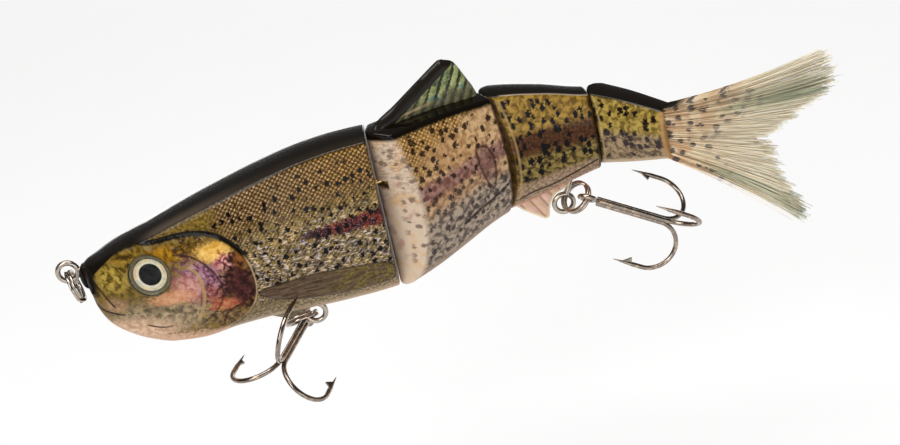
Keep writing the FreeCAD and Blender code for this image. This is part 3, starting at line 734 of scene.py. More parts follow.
def patch(p, f, x, z, half_long, half_high):
    """1 within an oval with a ragged edge, 0 outside it."""
    off_x = p.number("DIVIDE", p.minus(f.x, x), half_long)
    off_z = p.number("DIVIDE", p.minus(f.z, z), half_high)
    square = p.scaled(off_x, off_x, p.times(off_z, off_z))
    uneven = p.scaled(f.facet, 1.7, p.number("SQRT", square))
    uneven = p.scaled(f.mottle, 1.1, uneven)
    return p.step(uneven, 2.7, 2.0)


def patches(p, f, colour, table):
    for x, z, half_long, half_high, first, second, strength in table:
        amount = p.times(patch(p, f, x, z, half_long, half_high), strength)
        colour = p.lay(colour, tints(p, f.facet, first, second, 0.32, 0.68), amount)
    return colour


def ragged(p, f, value, amount):
    """A number pushed up and down a little from place to place, so that an edge drawn on it is uneven."""
    return p.scaled(p.minus(f.mottle, 0.5), amount, value)


def ink_spots(p, f, scale, small, large, share, tall=1.0):
    """Irregular dark spots: round marks drawn on ground that has been pushed about a little."""
    push_x = p.times(p.minus(f.mottle, 0.5), 2.2)
    push_z = p.times(p.minus(f.fleck, 0.5), 0.9)
    x, up, _ = p.parts(f.flat)
    spot = p.join(p.plus(x, push_x), p.scaled(up, tall, push_z))
    return p.spots(spot, scale, small, large, share)


def stripe_at(p, f, x0, z0, rise, reach):
    """1 along a slanting side stripe with a ragged edge, 0 off it."""
    line = p.scaled(p.minus(f.x, x0), rise, z0)
    off = ragged(p, f, p.minus(f.z, line), 2.4)
    return p.step(p.size(off), 1.15 * reach, 0.35 * reach)


def finish_skin(p, f, colour, depth, scale_bump=1.0):
    """Deepen the print, and give it texture and slight waviness beneath the clear coat."""
    p.colour(p.deepen(p.mix(1.0, colour, (1.0, 0.91, 0.79), "MULTIPLY"), depth))
    p.rough(p.scaled(f.fleck, 0.16, 0.26))
    glossy_back = p.scaled(p.step(f.drop, 0.6, -0.2), 0.65, 0.15)
    p.put(p.shader.inputs["Coat Weight"], glossy_back)
    below = p.step(f.drop, 0.6, 2.0)
    net = p.times(p.times(f.dots, scale_bump), below)
    p.bump(p.scaled(f.mottle, 0.3, net), 0.3, 0.0001)


def back_band(p, f, colour, reach, fade, edge_noise=0.6):
    """Black over the back, ending softly about the shoulder."""
    return p.lay(colour, BLACK, p.step(ragged(p, f, f.drop, edge_noise), reach + fade, reach))


def skin(name):
    """A painted and lacquered shell."""
    return Paint(name, Coat_Roughness=0.04, Specular_IOR_Level=0.03)


def front_paint():
    p = skin("trout_front")
    f = trout_base(p)
    x, z, height = f.x, f.z, f.height
    upper = p.step(height, 0.62, 0.84)
    ground = tints(p, f.facet, (0.045, 0.030, 0.010), (0.22, 0.175, 0.040), 0.38, 0.60)
    ground = p.lay(ground, (0.092, 0.054, 0.014), upper)
    neck = tints(p, f.mottle, (0.12, 0.085, 0.018), (0.27, 0.20, 0.055))
    ground = p.lay(ground, neck, p.step(p.scaled(f.wander, 8.0, x), 40.0, 34.0))
    rear = p.step(x, 42.0, 62.0)
    pale = p.mix(p.step(height, 0.40, 0.60), (0.46, 0.40, 0.42), (0.60, 0.48, 0.34))
    pale = p.lay(pale, (0.70, 0.48, 0.20), p.times(upper, rear))
    patchy = p.step(f.wander, 0.60, 0.42)
    amount = p.number("MAXIMUM", upper, p.scaled(patchy, 0.5, 0.5))
    amount = p.times(amount, p.step(p.scaled(f.wander, 6.0, x), 32.5, 40.0))
    colour = p.mix(p.times(f.dots, amount), ground, pale)
    colour = silver_flecks(p, f, colour)
    colour = p.lay(colour, stripe_tints(p, f), red_stripe(p, f))
    field = p.times(p.step(height, 0.10, 0.22), p.step(f.drop, 1.4, 2.6))
    spots = p.times(ink_spots(p, f, 0.54, 0.15, 0.31, 0.90, 0.72), field)
    colour = p.lay(colour, INK, spots)
    pale = tints(p, f.mottle, (0.15, 0.125, 0.075), (0.38, 0.32, 0.23))
    colour = p.lay(colour, pale, p.step(ragged(p, f, height, 0.12), 0.24, 0.12))
    colour = p.lay(colour, (0.46, 0.38, 0.30), p.step(height, 0.10, 0.03))
    # Painted reflection of warm light along the bottom edge of the belly.
    colour = p.lay(colour, PAINTED_RIM_LIGHT, p.step(height, 0.05, 0.0), 0.8)
    colour = pectoral_paint(p, f, colour)
    colour = p.lay(colour, BLACK, p.step(x, 17.0, 14.5))
    colour = head_paint(p, f, colour)
    colour = back_band(p, f, colour, -0.25, 1.0)
    # A painted reflection: a pale brown sheen over the black back, from near the ridge out to the shoulder.
    # It is full from x 21 to 24 and fades to a quarter behind x 46, standing for the lights mirrored in the
    # glossy back.
    forward = p.scaled(p.step(x, 46.0, 24.0), 0.75, 0.25)
    forward = p.times(forward, p.step(x, 15.0, 21.0))
    painted_sheen = p.times(p.step(p.field("crown"), 0.25, 0.95), forward)
    colour = p.lay(colour, (0.13, 0.11, 0.095), p.times(painted_sheen, p.step(f.drop, 0.2, -0.2)))
    cap = p.times(p.step(x, 6.2, 4.8), p.step(z, -5.6, -4.2))
    colour = p.lay(colour, BLACK, cap)
    on_head = p.step(p.field("head"), -0.05, 0.10)
    finish_skin(p, f, colour, p.scaled(on_head, 0.10, 1.18))
    return p.material


def silver_flecks(p, f, colour):
    """Short lilac, blue-white and straw flecks drawn out along the lower flank."""
    streak = p.noise(p.join(p.times(p.parts(f.flat)[0], 0.40), f.z), 2.2, 3.0, 0.60)
    lower = p.times(p.step(f.height, 0.74, 0.58), p.step(f.height, 0.18, 0.28))
    stops = ((0.34, (0.74, 0.58, 0.28)), (0.46, (0.72, 0.64, 0.64)), (0.60, (0.60, 0.60, 0.74)))
    tint = p.ramp(f.wander, stops)
    clumped = p.scaled(p.step(f.facet, 0.40, 0.56), 0.62, 0.30)
    amount = p.times(p.times(lower, p.step(streak, 0.52, 0.59)), clumped)
    return p.mix(amount, colour, tint)


def red_stripe(p, f):
    """The dark red side stripe of section 1, which starts behind the middle and widens to the rear."""
    x0, x1 = 46.0, 66.0
    run = p.number("DIVIDE", p.minus(f.x, x0), x1 - x0)
    reach = p.scaled(run, 1.5, 0.75)
    line = p.scaled(run, 1.0, 0.2)
    wavy = ragged(p, f, p.minus(f.z, line), 3.6)
    off = p.number("DIVIDE", p.size(wavy), reach)
    return p.times(p.step(off, 1.0, 0.7), p.step(f.x, 47.0, 52.0))


def stripe_tints(p, f):
    red = tints(p, f.facet, (0.030, 0.009, 0.016), (0.19, 0.045, 0.026), 0.40, 0.60)
    red = p.lay(red, (0.035, 0.016, 0.024), p.step(p.scaled(f.wander, 6.0, f.x), 59.0, 55.0))
    return p.mix(p.times(p.step(f.fleck, 0.56, 0.66), 0.8), red, (0.44, 0.28, 0.38))


def pectoral_paint(p, f, colour):
    """The moulded pectoral fin: smoky brown, greener towards its tip, with dark edges."""
    fin = p.field("pectoral")
    rays = p.noise(p.join(p.times(f.x, 0.12), f.z), 2.4, 2.0)
    brown = tints(p, rays, (0.075, 0.052, 0.036), (0.17, 0.125, 0.092))
    green = p.times(p.step(f.x, 49.0, 58.0), p.step(f.wander, 0.40, 0.55))
    brown = p.lay(brown, tints(p, f.mottle, (0.10, 0.085, 0.025), (0.25, 0.21, 0.07)), green, 0.8)
    # A painted highlight: pale grey at the lower front of the fin, just behind the gill cover.
    pale = p.times(p.band(f.x, 40.0, 3.0), p.step(f.z, -11.0, -12.4))
    brown = p.lay(brown, (0.44, 0.42, 0.38), pale, 0.7)
    brown = p.lay(brown, (0.040, 0.028, 0.020), p.step(fin, 0.55, 0.05))
    return p.mix(p.times(p.step(fin, -0.15, 0.2), 0.92), colour, brown)


def head_paint(p, f, colour):
    """The foil-like head: patches of tint, then the lines of mouth, cheek and gill cover over them."""
    gill = p.field("gill")
    head = tints(p, f.facet, (0.13, 0.095, 0.026), (0.29, 0.22, 0.075), 0.3, 0.7)
    head = patches(p, f, head, HEAD_PATCHES)
    # Painted glints: pale pink flecks on the foil around x 27, standing for light caught by its crinkles.
    painted_glint = p.times(p.step(p.noise(f.flat, 2.0, 2.0, 0.5, 0.8), 0.63, 0.70), p.band(f.x, 27.0, 7.0))
    head = p.lay(head, (0.78, 0.62, 0.60), painted_glint, 0.55)
    marks = p.step(p.noise(f.flat, 1.1, 3.0, 0.65), 0.36, 0.30)
    head = p.lay(head, (0.035, 0.022, 0.012), marks, 0.6)
    head = p.lay(head, (0.62, 0.46, 0.37), p.step(f.height, 0.13, 0.05))
    # Painted reflection of warm light along the bottom edge of the head.
    head = p.lay(head, PAINTED_RIM_LIGHT, p.step(f.height, 0.05, 0.0), 0.7)
    lines = (
        ("streak", 0.55, 0.20, 0.65, (0.50, 0.42, 0.23)),
        ("cheek", 0.36, 0.10, 0.75, (0.070, 0.034, 0.024)),
        ("floor", 0.36, 0.10, 0.95, (0.070, 0.016, 0.010)),
        ("crease", 0.36, 0.10, 0.85, (0.045, 0.034, 0.020)),
    )
    for field, outer, inner, strength, tint in lines:
        head = p.lay(head, tint, p.times(p.step(p.field(field), outer, inner), strength))
    colour = p.lay(colour, head, p.step(p.field("head"), -0.05, 0.10))
    front = p.step(f.x, 13.0, 15.5)
    high = p.step(f.z, -2.5, 0.0)
    seam = p.step(p.size(p.plus(gill, 0.25)), 0.62, 0.28)
    dark = p.times(seam, p.times(front, high))
    colour = p.lay(colour, (0.014, 0.010, 0.007), dark)
    # A painted highlight: a thin cream line along the lower rear edge of the gill cover, where its moulded
    # rim catches the light.
    low = p.times(p.band(gill, 0.0, 0.26), p.minus(1.0, high))
    return p.mix(p.times(p.times(low, p.step(f.x, 26.0, 31.0)), 0.85), colour, (0.66, 0.54, 0.38))


def wedge_paint(p, f, colour, ground, width, strength):
    """The swept face at a section's front: pale, softly blotched and lightly spotted."""
    across = p.join(f.y, f.z)
    blotch = p.noise(across, 0.26, 2.0, 0.5)
    face = p.mix(p.times(p.step(blotch, 0.50, 0.62), strength), ground, (0.66, 0.45, 0.24))
    face = p.lay(face, (0.42, 0.22, 0.23), p.times(p.step(blotch, 0.42, 0.32), strength))
    wavy = p.join(p.scaled(f.fleck, 1.6, f.y), p.scaled(f.mottle, 1.6, f.z))
    grey = p.spots(wavy, 0.46, 0.16, 0.38, 0.8)
    outer = p.number("MAXIMUM", p.step(p.size(f.y), 2.8, 5.0), p.step(f.z, 6.0, 10.0))
    face = p.lay(face, (0.17, 0.125, 0.125), p.times(grey, outer), 0.75)
    smoky = p.times(p.step(f.mottle, 0.46, 0.58), p.step(f.z, -2.0, 6.0))
    face = p.lay(face, (0.30, 0.24, 0.20), smoky, 0.45)
    edge = p.scaled(f.wander, width, p.field("ahead"))
    return p.mix(p.step(edge, 1.5 * width, 0.6 * width), colour, face)


def second_paint():
    p = skin("trout_second")
    f = trout_base(p)
    height = f.height
    ground = tints(p, f.facet, (0.15, 0.085, 0.025), (0.36, 0.24, 0.095), 0.34, 0.66)
    colour = p.mix(f.dots, ground, (0.80, 0.60, 0.34))
    soft = tints(p, f.facet, (0.38, 0.27, 0.165), (0.64, 0.49, 0.33), 0.34, 0.66)
    away = p.scaled(p.minus(f.x, 72.0), -0.020, height)
    colour = p.lay(colour, soft, p.step(p.scaled(f.wander, 0.3, away), 0.86, 0.72))
    colour = patches(p, f, colour, SECOND_PATCHES)
    mauve = tints(p, f.facet, (0.17, 0.082, 0.085), (0.36, 0.225, 0.22), 0.34, 0.66)
    colour = p.lay(colour, mauve, stripe_at(p, f, 72.0, 2.0, 0.10, 2.4), 0.9)
    low = tints(p, f.facet, (0.15, 0.13, 0.125), (0.46, 0.41, 0.37), 0.36, 0.62)
    colour = p.lay(colour, low, p.step(height, 0.50, 0.36))
    upper = p.step(height, 0.45, 0.62)
    field = p.times(p.step(height, 0.06, 0.16), p.step(f.drop, 0.9, 1.8))
    spots = p.times(ink_spots(p, f, 0.52, 0.17, 0.36, 0.86, 0.80), field)
    colour = p.lay(colour, p.mix(upper, (0.075, 0.062, 0.068), (0.022, 0.012, 0.010)), spots, 0.9)
    colour = p.lay(colour, (0.36, 0.29, 0.225), p.step(height, 0.13, 0.03))
    # Painted reflection of warm light along the bottom edge of the belly.
    colour = p.lay(colour, PAINTED_RIM_LIGHT, p.step(height, 0.05, 0.0), 0.8)
    leaf = p.field("leaf")
    colour = p.lay(colour, (0.25, 0.16, 0.145), p.step(leaf, -0.1, 0.3), 0.35)
    colour = p.lay(colour, (0.060, 0.028, 0.018), p.band(p.scaled(f.mottle, 0.9, leaf), 0.45, 0.55), 0.8)
    fold = p.step(p.field("crease"), 0.50, 0.15)
    colour = p.lay(colour, (0.030, 0.022, 0.018), fold, 0.9)
    colour = wedge_paint(p, f, colour, IVORY, 2.0, 0.5)
    rear = p.step(p.field("behind"), 0.8, 0.3)
    colour = p.lay(colour, (0.075, 0.045, 0.020), rear, 0.7)
    colour = back_band(p, f, colour, 0.75, 0.9)
    finish_skin(p, f, colour, 1.20)
    return p.material


def third_paint():
    p = skin("trout_third")
    f = trout_base(p)
    height = f.height
    colour = tints(p, f.facet, (0.17, 0.112, 0.024), (0.41, 0.30, 0.085), 0.34, 0.64)
    lower = tints(p, f.facet, (0.075, 0.058, 0.018), (0.31, 0.255, 0.105), 0.36, 0.62)
    colour = p.lay(colour, lower, p.step(height, 0.56, 0.44))
    red = tints(p, f.mottle, (0.032, 0.012, 0.008), (0.125, 0.050, 0.030))
    colour = p.lay(colour, red, stripe_at(p, f, 97.0, 2.6, -0.02, 3.4), 0.92)
    field = p.times(p.step(height, 0.16, 0.24), p.step(f.drop, 0.5, 1.2))
    spots = p.times(ink_spots(p, f, 0.60, 0.22, 0.42, 0.92, 0.62), field)
    colour = p.lay(colour, INK, spots)
    pale = tints(p, f.mottle, (0.22, 0.17, 0.13), (0.46, 0.37, 0.30), 0.35, 0.65)
    colour = p.lay(colour, pale, p.step(height, 0.27, 0.20))
    fold = p.step(p.field("crease"), 0.40, 0.10)
    colour = p.lay(colour, (0.035, 0.026, 0.018), fold, 0.9)
    # Painted reflection of warm light along the bottom edge of the belly, in a redder orange.
    colour = p.lay(colour, (0.66, 0.38, 0.30), p.step(height, 0.08, 0.0), 0.85)
    colour = wedge_paint(p, f, colour, (0.17, 0.115, 0.040), 0.6, 0.3)
    edge = p.times(p.band(p.field("ahead"), 1.1, 0.5), p.step(f.drop, 0.5, 1.0))
    colour = p.lay(colour, (0.48, 0.38, 0.20), edge, 0.6)
    rear = p.step(p.field("behind"), 0.9, 0.3)
    colour = p.lay(colour, (0.05, 0.030, 0.014), rear, 0.7)
    colour = back_band(p, f, colour, -0.05, 0.3, 0.2)
    # A painted highlight: a thin pale line along the edge of the back, where the glossy shoulder catches the
    # overhead light, starting about 2 mm behind the front.
    line = p.times(p.band(f.drop, 0.02, 0.16), p.step(p.field("ahead"), 1.2, 2.4))
    colour = p.lay(colour, (0.74, 0.68, 0.60), line, 0.6)
    finish_skin(p, f, colour, 1.22, 0.0)
    return p.material


def tail_paint():
    p = skin("trout_tail")
    f = trout_base(p)
    height = f.height
    upper = tints(p, f.facet, (0.15, 0.108, 0.026), (0.42, 0.34, 0.105), 0.34, 0.64)
    lower = tints(p, f.facet, (0.12, 0.09, 0.065), (0.37, 0.30, 0.21), 0.34, 0.64)
    colour = p.mix(p.step(height, 0.62, 0.46), upper, lower)
    field = p.times(p.step(height, 0.10, 0.18), p.step(f.drop, 0.4, 1.0))
    spots = p.times(ink_spots(p, f, 0.54, 0.24, 0.44, 0.92, 0.8), field)
    ink = p.mix(p.step(height, 0.5, 0.62), (0.050, 0.038, 0.045), (0.016, 0.010, 0.009))
    colour = p.lay(colour, ink, spots)
    colour = p.lay(colour, (0.50, 0.41, 0.31), p.step(height, 0.14, 0.07))
    rim = p.step(p.scaled(f.mottle, 0.8, p.field("behind")), 1.5, 0.8)
    colour = p.lay(colour, (0.42, 0.28, 0.14), rim, 0.9)
    colour = wedge_paint(p, f, colour, (0.17, 0.125, 0.050), 0.6, 0.3)
    edge = p.times(p.band(p.field("ahead"), 1.0, 0.5), p.step(f.drop, 0.5, 1.0))
    colour = p.lay(colour, (0.52, 0.42, 0.22), edge, 0.6)
    colour = back_band(p, f, colour, 0.0, 0.45, 0.3)
    finish_skin(p, f, colour, 1.12, 0.0)
    return p.material


def metal(name, colour, roughness, brushed=300.0, warm=(0.55, 0.42, 0.30)):
    """Plated wire: bright metal with faint draw marks and slightly uneven plating."""
    p = Paint(name, Metallic=1.0)
    spot = p.object_place()
    blotch = p.noise(spot, 900.0, 2.0)
    fine = p.noise(spot, brushed * 20, 2.0)
    p.colour(p.mix(p.step(blotch, 0.45, 0.75), colour, warm))
    p.rough(p.scaled(blotch, 0.14, roughness))
    p.bump(fine, 0.08, 0.00002)
    return p.material


def plain(name, colour, other, roughness, scale=500.0, **settings):
    """A moulded or cast material with gentle variation."""
    p = Paint(name, **settings)
    grain = p.noise(p.object_place(), scale, 3.0)
    p.colour(p.mix(p.step(grain, 0.35, 0.65), colour, other))
    p.rough(p.scaled(grain, 0.15, roughness))
    p.bump(grain, 0.15, 0.00005)
    return p.material


# ---------------------------------------------------------------- eyes

IRIS_RADIUS = 4.35
PUPIL_RADIUS = 2.35
DOME_HEIGHT = 1.55
DOME_REACH = 74  # degrees of the sphere that the dome is a cap of


def disc_rings(radii, heights, steps=72):
    """A closed turned piece from a list of radii and heights, first and last on the axis."""
    bm = bmesh.new()
    rings = []
    for radius, height in zip(radii, heights):
        if radius < 1e-6:
            rings.append([bm.verts.new((0, 0, height))])
            continue
        turns = [2 * math.pi * n / steps for n in range(steps)]
        rings.append([bm.verts.new((radius * math.cos(a), radius * math.sin(a), height)) for a in turns])
    for inner, outer in zip(rings, rings[1:]):
        for n in range(steps):
            after = (n + 1) % steps
            loop = ((inner, n), (outer, n), (outer, after), (inner, after))
            corners = list(dict.fromkeys(ring[k % len(ring)] for ring, k in loop))
            if len(corners) > 2:
                bm.faces.new(corners)
    bmesh.ops.recalc_face_normals(bm, faces=bm.faces)
    return bm


def iris_paint():
    p = Paint("iris_foil", Coat_Weight=0.1, Specular_IOR_Level=0.1)
    spot = p.place("disc")
    x, y, _ = p.parts(spot)
    radius = p.number("SQRT", p.plus(p.times(x, x), p.times(y, y)))
    pearl = p.noise(spot, 0.5, 2.0, 0.5, 0.6)
    stops = (
        (0.30, (0.36, 0.40, 0.38)), (0.40, (0.60, 0.52, 0.36)), (0.50, (0.78, 0.60, 0.36)),
        (0.62, (0.66, 0.47, 0.27)), (0.78, (0.44, 0.44, 0.38)),
    )
    colour = p.ramp(pearl, stops)
    colour = p.lay(colour, (0.15, 0.125, 0.070), p.step(radius, 3.35, 3.75))
    colour = p.lay(colour, (0.035, 0.040, 0.034), p.band(radius, 3.55, 0.22))
    colour = p.lay(colour, (0.34, 0.27, 0.14), p.step(radius, 3.95, 4.25))
    rim = p.step(radius, 3.0, 2.7)
    colour = p.lay(colour, (0.80, 0.74, 0.60), rim, 0.5)
    colour = p.lay(colour, (0.004, 0.004, 0.004), p.step(radius, PUPIL_RADIUS + 0.06, PUPIL_RADIUS - 0.06))
    p.colour(colour)
    p.rough(0.28)
    return p.material


def lens_glass():
    p = Paint("clear_lens", Roughness=0.01, IOR=1.12, Transmission_Weight=1.0)
    haze = p.noise(p.object_place(), 300.0, 1.0)
    p.colour(p.mix(haze, (0.98, 0.99, 0.98), (0.94, 0.97, 0.97)))
    return p.material


def eyes(bezel):
    iris = iris_paint()
    lens = lens_glass()
    for side, word in ((-1, "left"), (1, "right")):
        matrix = Matrix.Scale(MM, 4) @ eye_matrix(side)
        radii = [0, 1.2, PUPIL_RADIUS, 3.3, 3.9, IRIS_RADIUS, IRIS_RADIUS, 0]
        heights = [-0.42, -0.40, -0.34, -0.20, -0.08, 0.0, -0.6, -0.6]
        obj = new_object("iris_disc_" + word, disc_rings(radii, heights))
        store(obj.data, "disc", coordinates(obj.data))
        place(obj, matrix, "front_section", iris, ["eye_iris_" + word])
        soften(obj)
        angles = np.radians(np.linspace(0, DOME_REACH, 16))
        bulge = IRIS_RADIUS / math.sin(angles[-1])
        radii = [bulge * math.sin(a) for a in angles] + [IRIS_RADIUS, 0]
        rim = math.cos(angles[-1])
        rise = DOME_HEIGHT / (1 - rim) * (np.cos(angles) - rim)
        heights = [0.12 + r for r in rise] + [0.05, 0.05]
        obj = new_object("lens_dome_" + word, disc_rings(radii, heights))
        place(obj, matrix, "front_section", lens, ["eye_dome_" + word])
        soften(obj)
        radii = [IRIS_RADIUS + out for out in (0.02, 0.06, 0.17, 0.24, 0.24)]
        heights = [-0.6, 0.62, 0.66, 0.52, -0.6]
        bezel_ring = disc_rings(radii + radii[:1], heights + heights[:1])
        obj = new_object("eye_bezel_" + word, bezel_ring)
        place(obj, matrix, "front_section", bezel)
        soften(obj)


# ---------------------------------------------------------------- fins

def plate_fin(name, outline_points, thickness, thin, ridge):
    """A fin plate: its sides thin towards the free edge and carry raised rays."""
    path = smooth_path(outline_points, closed=True, steps=8)
    bm = bmesh.new()
    face = bm.faces.new([bm.verts.new((px, 0, pz)) for px, pz in path])
    bmesh.ops.triangulate(bm, faces=[face], quad_method="BEAUTY", ngon_method="BEAUTY")
    for _ in range(7):
        longest = [e for e in bm.edges if e.calc_length() > 0.7]
        if not longest:
            break
        bmesh.ops.subdivide_edges(bm, edges=longest, cuts=1, use_grid_fill=False)
        bmesh.ops.triangulate(bm, faces=bm.faces)
        bmesh.ops.beautify_fill(bm, faces=bm.faces, edges=bm.edges)
    spots = np.array([v.co for v in bm.verts])
    edge = path_distance(spots[:, 0], spots[:, 2], path, closed=True)
    half = thickness / 2 - (thickness / 2 - thin) * np.exp(-edge / 0.6)
    half = half + ridge(spots[:, 0], spots[:, 2], edge)
    half = np.where(edge < 0.02, thin, half)
    bm.verts.ensure_lookup_table()
    back = {}
    for v, reach in zip(list(bm.verts), half):
        twin = bm.verts.new((v.co.x, reach, v.co.z))
        v.co.y = -reach
        back[v] = twin
    faces = list(bm.faces)
    rim = [e for e in bm.edges if len(e.link_faces) == 1]
    for face in faces:
        bm.faces.new([back[v] for v in reversed(face.verts)])
    for e in rim:
        a, b = e.verts
        bm.faces.new((a, b, back[b], back[a]))
    bmesh.ops.recalc_face_normals(bm, faces=bm.faces)
    obj = new_object(name, bm)
    points = coordinates(obj.data)
    store(obj.data, "fish", points)
    store(obj.data, "edge", path_distance(points[:, 0], points[:, 2], path, closed=True))
    return obj


# How closely the rays stand, and how far they slant along the fish for each millimetre of height.
DORSAL_RAYS, DORSAL_SLANT = 2.5, 0.62
ANAL_RAYS, ANAL_SLANT = 2.6, 0.55
DORSAL_LEAD = ((68.4, 17.6), (85.2, 24.9))


def lead_distance(x, z):
    """Distance behind the dorsal fin's leading edge."""
    (ax, az), (bx, bz) = DORSAL_LEAD
    dx, dz = bx - ax, bz - az
    return ((x - ax) * dz - (z - az) * dx) / math.hypot(dx, dz)


def dorsal_ridge(x, z, edge):
    """Slanting rays, and a thick bevelled leading edge."""
    rays = np.cos((x - DORSAL_SLANT * z) * DORSAL_RAYS)
    lead = smooth_step(lead_distance(x, z), 3.0, 2.2)
    return 0.09 * rays * smooth_step(edge, 0.3, 1.0) * (1 - lead) + 0.18 * lead * smooth_step(edge, 0.1, 0.7)


def anal_ridge(x, z, edge):
    """A few broad rays that run down and back."""
    return 0.16 * np.cos((x + ANAL_SLANT * z) * ANAL_RAYS) * smooth_step(edge, 0.2, 0.9)


def dorsal_paint():
    p = Paint("dorsal_plate", Coat_Weight=0.35, Coat_Roughness=0.05, Specular_IOR_Level=0.05)
    fish = p.place()
    x, _, z = p.parts(fish)
    slant = p.minus(x, p.times(z, DORSAL_SLANT))
    soft = p.noise(fish, 0.5, 2.0)
    fine = p.noise(fish, 1.6, 3.0)
    stops = ((0.32, (0.075, 0.12, 0.055)), (0.46, (0.20, 0.25, 0.075)), (0.58, (0.34, 0.36, 0.13)),
             (0.70, (0.085, 0.22, 0.17)))
    colour = p.ramp(soft, stops)
    colour = p.lay(colour, (0.42, 0.42, 0.24), p.step(fine, 0.54, 0.68))
    rays = p.number("COSINE", p.times(slant, DORSAL_RAYS))
    jitter = p.scaled(p.minus(fine, 0.5), 2.2, rays)
    colour = p.lay(colour, (0.010, 0.008, 0.006), p.step(jitter, -0.25, -0.7), 0.95)
    low = p.step(p.scaled(soft, 5.0, z), 22.6, 19.8)
    colour = p.lay(colour, (0.085, 0.070, 0.042), low, 0.75)
    marks = p.spots(p.join(x, z), 0.45, 0.18, 0.32, 0.6)
    colour = p.lay(colour, (0.035, 0.036, 0.030), marks, 0.75)
    (ax, az), (bx, bz) = DORSAL_LEAD
    run = math.hypot(bx - ax, bz - az)
    behind = p.minus(p.times(p.minus(x, ax), (bz - az) / run), p.times(p.minus(z, az), (bx - ax) / run))
    base = p.times(p.band(z, 17.7, 0.5), p.step(x, 84.0, 76.0))
    colour = p.lay(colour, (0.46, 0.34, 0.19), base, 0.9)
    colour = p.lay(colour, BLACK, p.step(behind, 2.5, 2.1))
    p.colour(colour)
    p.rough(0.3)
    p.bump(p.plus(rays, fine), 0.25, 0.0001)
    return p.material


def anal_paint():
    p = Paint("anal_plate", Coat_Weight=0.6, Coat_Roughness=0.1, Subsurface_Weight=0.25,
              Subsurface_Radius=(0.002, 0.001, 0.0007))
    fish = p.place()
    soft = p.noise(fish, 0.6, 2.0)
    colour = p.mix(p.step(soft, 0.38, 0.62), (0.60, 0.38, 0.23), (0.68, 0.42, 0.33))
    x, _, z = p.parts(fish)
    rays = p.number("COSINE", p.times(p.scaled(z, ANAL_SLANT, x), ANAL_RAYS))
    colour = p.lay(colour, (0.26, 0.14, 0.075), p.step(rays, -0.55, -0.95), 0.7)
    edge = p.field("edge")
    colour = p.lay(colour, (0.76, 0.66, 0.46), p.step(edge, 0.7, 0.1))
    p.colour(colour)
    p.rough(0.35)
    p.bump(soft, 0.2, 0.0001)
    return p.material


DORSAL_OUTLINE = [
    (68.2, 12.6), (68.3, 17.4), (74.0, 20.0), (80.0, 22.7), (85.0, 24.9), (86.2, 25.15), (87.4, 24.8),
    (89.2, 23.5), (91.2, 19.4), (92.6, 16.0), (92.4, 12.6), (80.0, 12.6),
]
ANAL_OUTLINE = [
    (97.0, -10.6), (97.0, -13.4), (101.8, -17.4), (103.0, -17.8), (103.6, -17.2), (104.1, -15.0),
    (105.4, -12.9), (107.4, -12.1), (109.0, -11.3), (109.2, -8.8), (102.0, -9.4),
]
DORSAL_THICK, DORSAL_THIN_EDGE = 2.2, 0.28
ANAL_THICK, ANAL_THIN_EDGE = 1.5, 0.3


def fins():
    obj = plate_fin("dorsal_plate", DORSAL_OUTLINE, DORSAL_THICK, DORSAL_THIN_EDGE, dorsal_ridge)
    place(obj, section_matrix(2), "second_section", dorsal_paint(), ["dorsal_fin"])
    soften(obj, 35)
    obj = plate_fin("anal_plate", ANAL_OUTLINE, ANAL_THICK, ANAL_THIN_EDGE, anal_ridge)
    place(obj, section_matrix(3), "third_section", anal_paint(), ["anal_fin"])
    soften(obj, 35)


# ---------------------------------------------------------------- brush tail

# The trimmed edge of the brush, from the upper lobe to the lower one.
TIP_EDGE = np.array([
    (171.2, 19.7), (172.9, 19.2), (173.8, 14.3), (172.4, 11.5), (167.8, 8.6), (164.2, 4.6), (160.3, 2.4),
    (156.5, 0.1), (157.9, -3.2), (158.7, -6.0), (160.2, -11.5), (161.6, -14.6), (163.6, -18.2),
    (162.4, -18.9),
])
TIP_RUN = np.concatenate([[0], np.cumsum(np.hypot(*np.diff(TIP_EDGE, axis=0).T))])
TUFTS = 44
BRISTLES = 1500
BRISTLE_RADIUS = 0.11
BRISTLE_STEPS, BRISTLE_SIDES = 9, 4
PLUG_HALF_WIDTH = 1.5
ROOT_TOP, ROOT_HEIGHT = 4.9, 10.6
ROOT_BEHIND = 2.5


def bristle(rng, u, tuft_trim):
    """Points along one bristle, at place u of the brush from top (0) to bottom (1), and its radii."""
    t = np.linspace(0, 1, BRISTLE_STEPS)
    tuft = (math.floor(u * TUFTS) + 0.5) / TUFTS
    spread = np.clip(tuft + 0.50 * (u - tuft) + rng.normal(0, 0.0032), 0, 1)
    tip_x = np.interp(spread * TIP_RUN[-1], TIP_RUN, TIP_EDGE[:, 0]) + rng.normal(0, 0.55)
    tip_z = np.interp(spread * TIP_RUN[-1], TIP_RUN, TIP_EDGE[:, 1]) + rng.normal(0, 0.25)
    trim = 1.0 - abs(rng.normal(0, 0.035)) - (0.12 * rng.random() if rng.random() < 0.2 else 0)
    trim *= tuft_trim[int(u * TUFTS)]
    root_z = ROOT_TOP - ROOT_HEIGHT * u + rng.normal(0, 0.15)
    root_y = rng.normal(0, 0.75)
    tip_y = root_y * 0.9 + rng.normal(0, 0.55)
    start = np.array([TAIL_X - ROOT_BEHIND, np.clip(root_y, -PLUG_HALF_WIDTH, PLUG_HALF_WIDTH), root_z])
    end = start + (np.array([tip_x, tip_y, tip_z]) - start) * trim
    bend = np.array([0.0, rng.normal(0, 0.5), rng.normal(0, 0.45)])
    ease = t * (0.72 + 0.28 * t)
    line = start + (end - start) * np.stack([t, ease, ease], 1) + bend * (t * (1 - t) * 1.2)[:, None]
    return line, BRISTLE_RADIUS * (1 - 0.45 * t) * rng.uniform(0.8, 1.15)


